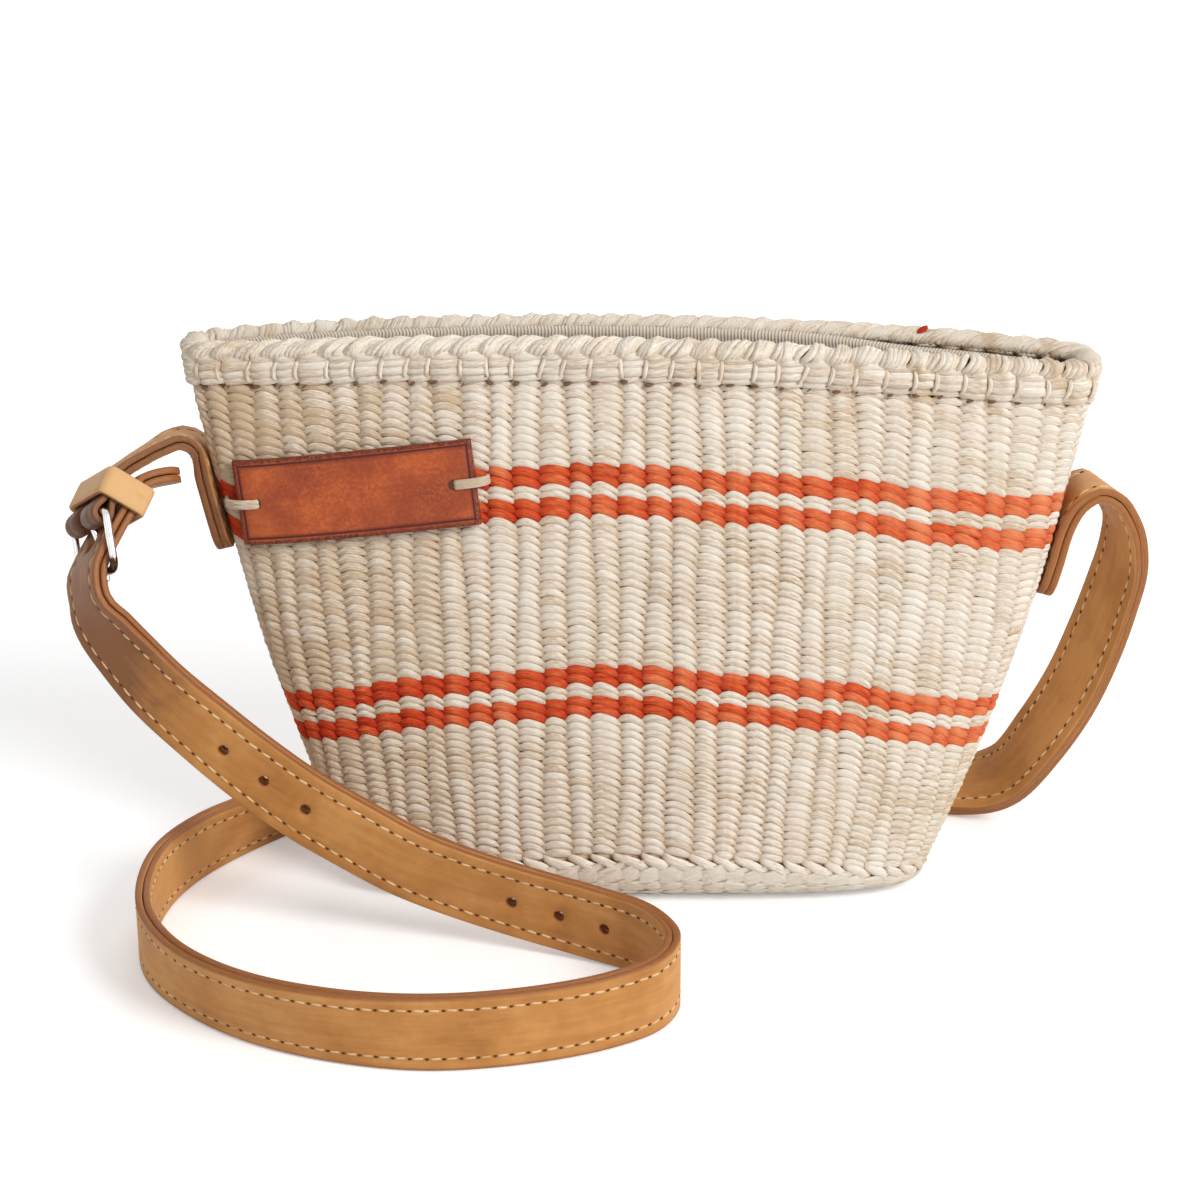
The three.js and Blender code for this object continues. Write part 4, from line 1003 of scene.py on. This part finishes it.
def label_part():
    """A thick plate bent to the wall, with a tooled line inside its edge and bevelled, darker sides."""
    half = np.concatenate([np.linspace(31.8, 32.4, 3), [32.7, 33.1, 33.5]])
    lengths = np.concatenate([-half[::-1], np.linspace(-31, 31, 60), half])
    rise = np.concatenate([[-12, -11.6, -11.0, -10.5, -10.2, -9.9], np.linspace(-9, 9, 19),
                           [10.4, 10.7, 11.0, 11.3, 11.6, 12]])[None]
    at, up, out = (np.array(values) for values in zip(*[label_place(length) for length in lengths]))
    end = abs(lengths)[:, None]
    bevel = 0.55 * np.maximum(smooth((abs(rise) - 11.1) / 0.9), smooth((end - 32.6) / 0.9))
    on_line = lambda value, line: np.exp(-((value - line) / LINE_HALF) ** 2)
    by_length, by_rise = end < 32.5, (rise > -10.6) & (rise < 11.1)
    tooled = np.maximum(np.maximum(on_line(rise, LINE_TOP), on_line(rise, LINE_FOOT)) * by_length,
                        on_line(end, LINE_END) * by_rise)
    dark = np.maximum(~(by_rise & by_length), np.minimum(1, bevel * 1.5))
    none = np.zeros(tooled.shape)
    front_and_back = lambda front, back: np.hstack([front, back[:, ::-1]])
    points, grain = sweep(at, up, out, front_and_back(rise, rise),
                          front_and_back(LABEL_THICKNESS - bevel - 0.3 * tooled, none), lengths)
    edge = np.maximum(front_and_back(dark, none + 1), end > 33.3)
    return make_part(points, ring_faces(1, len(lengths), 2 * rise.size), grain=grain, edge=edge,
                     depth=front_and_back(tooled, none))


def label_tie_parts(side):
    """Two strands of sisal out of the hole, over the end of the label and back into the wall."""
    (foot, up, out), (edge, _, edge_out), (beyond, _, beyond_out) = (
        label_place(side * (LABEL_LENGTH / 2 + past)) for past in (-TIE_INSET, SEAT_GAP, TIE_OVERHANG))
    crest = LABEL_THICKNESS + 0.6
    path = np.array([foot + out * 1.5, foot + out * (crest - 0.4),
                     foot + out * crest + np.cross(up, out) * side * TIE_RADIUS, edge + edge_out * crest,
                     beyond + beyond_out * crest / 2, beyond - beyond_out * 1.6])
    parts = []
    for shift in (-0.55, 0.55):
        aside = shift + TIE_SPREAD * (np.arange(6) - 2.5)[:, None]
        places = catmull_rom(path + up * aside, np.linspace(0, 5, 22))[None]
        outs = unit(np.cross(up, unit(np.gradient(places, axis=1))))
        parts.append(fibre_part(places, up, outs, *TIE_STRAND, 8, 0.6 * shift - 2.4, 0.12))
    return parts


def label_hole_parts(side):
    """Painted shade in the mouth of the hole that a tie comes out of: a dark flat lens let into the leather."""
    at, up, out = label_place(side * (LABEL_LENGTH / 2 - TIE_INSET - 0.7))
    t = np.linspace(-1, 1, 6)
    centre = at + out * (LABEL_THICKNESS - 0.02 + 0.12 * t[:, None])
    sizes = 1.5 * rounded(t, 0.95)
    return [fibre_part(centre[None], up, np.cross(up, out), sizes, sizes, 16, 0.0, 1.0)]


# Shader groups


FIBRE_COLOURS = ("Light", "Body", "Shade", "Crevice")
HIDE_COLOURS = ("Light", "Body", "Dark", "Cut edge")


def new_group(name, given):
    """An empty shader group that gives a colour, a height and a roughness."""
    group = bpy.data.node_groups.new(name, "ShaderNodeTree")
    for label in (*given, "Colour", "Height", "Roughness"):
        kind = "Float" if label in ("Streaks", "Height", "Roughness") else "Color"
        way = "INPUT" if label in given else "OUTPUT"
        group.interface.new_socket(label, in_out=way, socket_type="NodeSocket" + kind)
    return Nodes(group), group.nodes.new("NodeGroupInput").outputs, group.nodes.new("NodeGroupOutput").inputs


class Nodes:
    """Short ways to add shader nodes to a tree. A socket or a plain value goes into each input."""

    def __init__(self, tree):
        self.tree = tree

    def put(self, inputs, values):
        for label, value in values.items():
            if isinstance(value, bpy.types.NodeSocket):
                self.tree.links.new(value, inputs[label])
            else:
                inputs[label].default_value = value

    def node(self, kind, values, **settings):
        node = self.tree.nodes.new("ShaderNode" + kind)
        for name, value in settings.items():
            setattr(node, name, value)
        self.put(node.inputs, values)
        return node.outputs

    def math(self, operation, a, b, clamp=False):
        return self.node("Math", {0: a, 1: b}, operation=operation, use_clamp=clamp)[0]

    def add(self, *values):
        total = values[0]
        for value in values[1:]:
            total = self.math("ADD", total, value)
        return total

    def times(self, a, b):
        return self.math("MULTIPLY", a, b)

    def swing(self, noise, gain):
        """Turns a noise from 0 to 1 into one that swings about zero."""
        return self.times(self.math("SUBTRACT", noise, 0.5), gain)

    def mark(self, name):
        return self.node("Attribute", {}, attribute_name=name)["Vector" if name == "grain" else "Fac"]

    def noise(self, vector, scale, detail=2.0, roughness=0.5, stretch=None):
        if stretch:
            vector = self.node("VectorMath", {0: vector, 1: stretch}, operation="MULTIPLY")[0]
        values = {"Vector": vector, "Scale": scale, "Detail": detail, "Roughness": roughness}
        return self.node("TexNoise", values)["Fac"]

    def ramp(self, value, low, high, to_low=0.0, to_high=1.0):
        values = {"Value": value, "From Min": low, "From Max": high, "To Min": to_low, "To Max": to_high}
        return self.node("MapRange", values)["Result"]

    def blend(self, share, a, b):
        return self.node("Mix", {"Factor": share, "A": a, "B": b}, data_type="RGBA", clamp_factor=True)["Result"]

    def in_object(self):
        return self.node("TexCoord", {})["Object"]

    def bump(self, height, distance):
        return self.node("Bump", {"Distance": distance * MM, "Strength": 1.0, "Height": height})["Normal"]

    def seen(self):
        """1 for rays from the camera and from mirrors."""
        path = self.node("LightPath", {})
        return self.math("MAXIMUM", path["Is Camera Ray"], path["Is Glossy Ray"])


def colour(r, g, b):
    """A colour as seen on screen, from 0 to 255, as linear light."""
    linear = lambda v: v / 12.92 if v <= 0.04045 else ((v + 0.055) / 1.055) ** 2.4
    return (linear(r / 255), linear(g / 255), linear(b / 255), 1.0)


def make_fibre_group():
    """Sisal fibre: streaks along each bundle, tone from bundle to bundle, painted shade in the crevices from the depth
    mark, and brown specks and stains.
    """
    n, given, made = new_group("plant_fibre", (*FIBRE_COLOURS, "Streaks"))
    grain, depth, spot = n.mark("grain"), n.mark("depth"), n.in_object()
    streak = n.noise(grain, 1.0, 3.0, 0.65, (0.3, 3.0, 1.0))
    fine = n.noise(grain, 1.0, 2.0, 0.6, (0.6, 8.0, 1.0))
    toned = n.add(n.times(n.mark("tone"), 0.12), n.swing(n.noise(spot, 42.0), 0.9))
    lively = n.add(toned, n.swing(streak, n.times(given["Streaks"], 2.0)))
    light = n.blend(n.ramp(lively, -0.1, 0.5), given["Body"], given["Light"])
    shaded = n.blend(n.ramp(lively, -0.08, -0.55), light, given["Shade"])
    # Painted shade: the depth mark mixes in the Shade colour.
    sunk = n.blend(n.ramp(depth, 0.2, 0.85, 0.0, 0.85), shaded, given["Shade"])
    specks = n.times(n.ramp(fine, 0.66, 0.85), 0.18)
    stained = n.ramp(n.noise(spot, 75.0, 3.0, 0.7), 0.6, 0.78, 0.0, 0.22)
    # The Crevice colour comes in as painted shade where depth is high, and as real brown specks and stains.
    deep = n.math("ADD", n.ramp(depth, 0.68, 0.98, 0.0, 0.9), specks, True)
    n.put(made, {"Colour": n.blend(n.math("ADD", deep, stained, True), sunk, given["Crevice"]),
                 "Height": n.add(streak, n.times(fine, 0.6)), "Roughness": n.ramp(streak, 0.2, 0.8, 0.72, 0.9)})
    return n.tree


def make_hide_group():
    """Vegetable tanned leather: clouds, fine pores, a raw pinkish edge, and the tone mark: painted light and shade
    along the strap, and a darker tab round its fold.
    """
    n, given, made = new_group("tanned_hide", HIDE_COLOURS)
    grain = n.mark("grain")
    clouds = n.noise(n.in_object(), 38.0, 4.0, 0.6)
    streaks = n.noise(grain, 1.0, 3.0, 0.6, (0.05, 0.5, 0.5))
    pores = n.noise(grain, 2.6, 3.0, 0.7)
    fibres = n.noise(grain, 1.0, 3.0, 0.7, (0.5, 1.5, 6.0))
    value = n.add(n.swing(clouds, 2.6), n.swing(streaks, 0.9), n.swing(pores, 0.35), n.times(n.mark("tone"), 0.5))
    lighter = n.blend(n.ramp(value, 0.0, 0.55), given["Body"], given["Light"])
    shaded = n.blend(n.ramp(value, -0.05, -0.8), lighter, given["Dark"])
    raw = n.blend(n.ramp(fibres, 0.35, 0.65, 0.0, 0.8), given["Cut edge"], given["Dark"])
    n.put(made, {"Colour": n.blend(n.ramp(n.mark("edge"), 0.55, 0.9), shaded, raw),
                 "Height": n.add(pores, n.times(clouds, 0.8)), "Roughness": n.ramp(value, -0.5, 0.5, 0.5, 0.68)})
    return n.tree


def new_material(name, looks):
    """A material. Looks is a function that says what goes into each input of the surface shader."""
    material = bpy.data.materials.new(name)
    material.use_nodes = True
    n = Nodes(material.node_tree)
    n.put(material.node_tree.nodes["Principled BSDF"].inputs, looks(n))
    return material


def grouped_looks(group, given, bump, specular, sheen=0.0):
    """Looks whose colour, height and roughness come from one shader group."""
    def looks(n):
        made = n.node("Group", given, node_tree=group)
        return {"Base Color": made["Colour"], "Roughness": made["Roughness"], "Sheen Weight": sheen,
                "Specular IOR Level": specular, "Normal": n.bump(made["Height"], bump)}
    return looks


def lining_looks(n):
    """Grey cloth with fine upright ribs. Its colours are lighter than the cloth: painted light that makes up for the
    shade deep in the mouth.
    """
    wave = n.node("TexWave", {"Vector": n.mark("grain"), "Scale": 0.32, "Distortion": 0.6})["Fac"]
    threads = n.noise(n.mark("grain"), 1.0, 3.0, stretch=(2.0, 3.0, 1.0))
    ribs = n.times(wave, n.ramp(threads, 0.2, 0.8, 0.7, 1.0))
    return {"Base Color": n.blend(ribs, colour(196, 182, 164), colour(236, 224, 208)), "Roughness": 0.9,
            "Specular IOR Level": 0.15, "Normal": n.bump(ribs, 0.3)}


def nickel_looks(n):
    """Polished nickel with the faint scuffs of handling."""
    scuffs = n.noise(n.in_object(), 1.0, 4.0, 0.6, (1400.0, 1400.0, 350.0))
    bright = n.blend(n.ramp(scuffs, 0.3, 0.75), colour(214, 214, 212), colour(236, 236, 234))
    # Where the depth mark is set, dark brown is painted on: painted shade at the corners of the frame's far bar.
    return {"Base Color": n.blend(n.ramp(n.mark("depth"), 0.3, 0.8), bright, colour(72, 50, 40)),
            "Roughness": n.ramp(scuffs, 0.3, 0.8, 0.1, 0.26), "Metallic": 1.0}


# Dark brown: painted shade inside the needle holes and the label's tie holes.
def prick_looks(n):
    return {"Base Color": n.blend(n.noise(n.in_object(), 900.0), colour(66, 34, 16), colour(108, 62, 32)),
            "Roughness": 0.85}


def label_looks(n):
    """Label leather: mottled orange brown, burgundy at the edges and in the tooled line."""
    hide = n.node("Group", LABEL_HIDE, node_tree=hide_group)
    spots = n.ramp(n.noise(n.mark("grain"), 1.1, 2.0, 0.6), 0.45, 0.6, 0.0, 0.35)
    smudges = n.ramp(n.noise(n.mark("grain"), 0.11, 3.0, 0.55), 0.42, 0.66, 0.0, 0.6)
    face = n.blend(smudges, n.blend(spots, hide["Colour"], colour(206, 112, 66)), colour(134, 54, 30))
    return {"Base Color": n.blend(n.ramp(n.mark("depth"), 0.1, 0.6), face, colour(78, 22, 18)),
            "Roughness": n.math("SUBTRACT", hide["Roughness"], 0.14), "Specular IOR Level": 0.3,
            "Normal": n.bump(hide["Height"], 0.05)}


# Materials and pieces


def palette(labels, *seen, **plain):
    return dict(zip(labels, (colour(*values) for values in seen)), **plain)


fibre_group, hide_group = make_fibre_group(), make_hide_group()

NATURAL = palette(FIBRE_COLOURS, (250, 241, 228), (240, 226, 207), (212, 186, 154), (118, 80, 52), Streaks=1.25)
DYED = palette(FIBRE_COLOURS, (244, 148, 100), (228, 100, 54), (196, 54, 28), (140, 26, 10), Streaks=1.1)
THREAD = palette(FIBRE_COLOURS, (238, 212, 170), (220, 184, 134), (188, 146, 98), (150, 104, 62), Streaks=0.6)
HIDE = palette(HIDE_COLOURS, (208, 150, 86), (186, 126, 62), (132, 80, 34), (164, 104, 60))
TAB_HIDE = palette(HIDE_COLOURS, (200, 146, 90), (178, 124, 72), (104, 66, 38), (146, 94, 58))
KEEPER_HIDE = palette(HIDE_COLOURS, (222, 176, 122), (206, 156, 100), (168, 116, 68), (180, 124, 80))
LABEL_HIDE = palette(HIDE_COLOURS, (200, 104, 50), (172, 78, 36), (122, 46, 24), (64, 20, 17))

sisal = new_material("natural_sisal", grouped_looks(fibre_group, NATURAL, 0.45, 0.15, 0.05))
dyed_sisal = new_material("dyed_sisal", grouped_looks(fibre_group, DYED, 0.45, 0.12))
thread = new_material("waxed_thread", grouped_looks(fibre_group, THREAD, 0.08, 0.35))
hide = new_material("strap_leather", grouped_looks(hide_group, HIDE, 0.06, 0.4))
tab_hide = new_material("tab_leather", grouped_looks(hide_group, TAB_HIDE, 0.08, 0.35))
keeper_hide = new_material("keeper_leather", grouped_looks(hide_group, KEEPER_HIDE, 0.1, 0.2, 0.15))
label_hide = new_material("label_leather", label_looks)
lining_cloth = new_material("ribbed_lining", lining_looks)
nickel = new_material("polished_nickel", nickel_looks)
prick = new_material("needle_prick", prick_looks)


def build_basket():
    natural, coloured = twined_wall()
    make_piece("twined_wall", natural, sisal, replaced=("basket_body",))
    make_piece("wall_core", [wall_core()], sisal)
    make_piece("turn_plait", turn_braid(), sisal, replaced=("turn_braid",))
    make_piece("bottom_rows", bottom_courses(), sisal)
    for stripe, rows in coloured.items():
        make_piece(stripe + "_rows", rows, dyed_sisal, replaced=(stripe,))
    rim = rim_wraps() + [rim_bundles(height) for height in (1.1, 3.2, 5.3, 7.4)]
    rim += [rim_inner_bundles(), *rim_shade_specks()]
    make_piece("rim_wrapping", tint(rim, stains), sisal, replaced=("rim_binding",))
    make_piece("rim_thread", [rim_uprights()], sisal)
    make_piece("rim_dyed_fleck", [dyed_fleck()], dyed_sisal)
    lining = make_piece("lining_bag", [lining_bag()], lining_cloth, replaced=("lining",))


def build_label():
    make_piece("label_plate", [label_part()], label_hide, replaced=("label",))
    make_piece("label_holes", label_hole_parts(-1) + label_hole_parts(1), prick)
    for tie, side in (("label_tie_left", -1), ("label_tie_right", 1)):
        make_piece(tie + "_strands", label_tie_parts(side), sisal, replaced=(tie,))


# Punched holes of the strap: distance along it, and half length and half width. Round ones are narrower inside
PRONG_HOLE = 34.0
ROUND_HOLE = (HOLE_RADIUS, HOLE_RADIUS)
HOLE_SPACING = 14.0
HOLES = [(PRONG_HOLE - HOLE_SPACING, ROUND_HOLE), (PRONG_HOLE, (3.2, 1.9))]
HOLES += [(PRONG_HOLE + first + k * HOLE_SPACING, ROUND_HOLE) for first in (72, 163) for k in range(3)]
INNER_HOLES = [(hole, (0.6 * a, 0.6 * b) if a == b else (a, b)) for hole, (a, b) in HOLES]


def strap_light_and_shade(distance):
    """Painted shade near its tail, painted light in front on the floor and a little less of it behind."""
    return 0.35 - 2.3 * smooth(1 - abs(distance - 50) / 80) + 0.35 * smooth((distance - 330) / 120) \
        - 0.3 * smooth((distance - 640) / 60)


def build_stitches(name, curve, start, end, level):
    threads, pricks = thread_stitches(curve, start, end, level)
    make_piece(name + "_stitches", threads, thread)
    make_piece(name + "_needle_holes", pricks, prick)


def build_strap():
    curve = strap_curve()
    layers = (("outer", LAYER_GAP / 2, HALF_STACK, HOLES), ("inner", -HALF_STACK, -LAYER_GAP / 2, INNER_HOLES))
    for side, low, high, holes in layers:
        layer = strap_layer(curve, low, high, holes)
        make_piece(f"strap_{side}_layer", [layer], hide, replaced=("strap_" + side,))
    build_stitches("strap", curve, 8, curve["distance"][-1] - 8, HALF_STACK - GROOVE_DEPTH)


def build_tab():
    curve = tab_curve()
    make_piece("tab_leather", [tab_part(curve)], tab_hide, replaced=("buckle_tab",))
    build_stitches("tab", curve, 6, curve["distance"][-1] - 16, LAYER_OFFSET + LEATHER / 2 - GROOVE_DEPTH)
    make_piece("keeper_band", [keeper_part()], keeper_hide, "keeper", ("keeper_loop",))


def build_buckle():
    make_piece("buckle_wire", [buckle_frame_part()], nickel, "buckle", ("buckle_frame",))
    make_piece("buckle_tongue", prong_parts(), nickel, "prong", ("buckle_prong",))


# Camera, floor and light


def build_camera():
    data = bpy.data.cameras.new("camera")
    data.sensor_width, data.lens, data.clip_start = SENSOR_WIDTH, LENS, 0.05
    camera = new_object("camera", data)
    tilt = math.radians(CAMERA_ELEVATION)
    x, y, z = CAMERA_TARGET
    camera.location = (x, y - CAMERA_DISTANCE * math.cos(tilt), z + CAMERA_DISTANCE * math.sin(tilt))
    camera.rotation_euler = (math.pi / 2 - tilt, 0, 0)
    bpy.context.scene.camera = camera


def floor_looks(n):
    """White floor. What the camera sees of it grows brighter away from the bag, so its shadow stays."""
    away = n.node("VectorMath", {0: n.node("NewGeometry", {})["Position"]}, operation="LENGTH")["Value"]
    return {"Base Color": (0.93, 0.93, 0.93, 1), "Roughness": 0.9, "Specular IOR Level": 0.0,
            "Emission Color": (1, 1, 1, 1), "Emission Strength": n.times(n.seen(), n.ramp(away, 0.35, 1.1, 0.3, 1.0))}


def build_floor():
    size = 6.0
    mesh = bpy.data.meshes.new("floor")
    mesh.from_pydata([(-size, -size, 0), (size, -size, 0), (size, size, 0), (-size, size, 0)], [], [(0, 1, 2, 3)])
    mesh.materials.append(new_material("white_floor", floor_looks))
    floor = new_object("floor", mesh)


def add_lamp(name, location, size, strength):
    data = bpy.data.lights.new(name, "AREA")
    data.shape, data.size, data.energy = "DISK", size, strength
    lamp = new_object(name, data)
    lamp.location = location
    x, y, z = np.array([0, 0, 0.07]) - np.array(location)
    lamp.rotation_euler = (math.atan2(math.hypot(x, y), -z), 0, math.atan2(y, x) - math.pi / 2)


def build_light():
    """A room that is seen as white but gives less light than that, and three lamps."""
    world = bpy.data.worlds.new("studio")
    bpy.context.scene.world = world
    world.use_nodes = True
    n = Nodes(world.node_tree)
    seen = n.math("MAXIMUM", n.seen(), n.node("LightPath", {})["Is Transmission Ray"])
    n.put(world.node_tree.nodes["Background"].inputs,
          {"Color": (1, 1, 1, 1), "Strength": n.ramp(seen, 0, 1, 0.46, 1.0)})
    add_lamp("key", (1.0, -1.0, 1.1), 0.8, 20.5)
    add_lamp("fill", (-1.0, -1.2, 0.9), 1.2, 1.4)
    add_lamp("back", (0.2, 1.3, 1.1), 1.0, 7.0)
    bpy.context.scene.view_settings.view_transform = "Standard"


build_camera()
build_basket()
build_label()
build_strap()
build_tab()
build_buckle()
build_floor()
build_light()
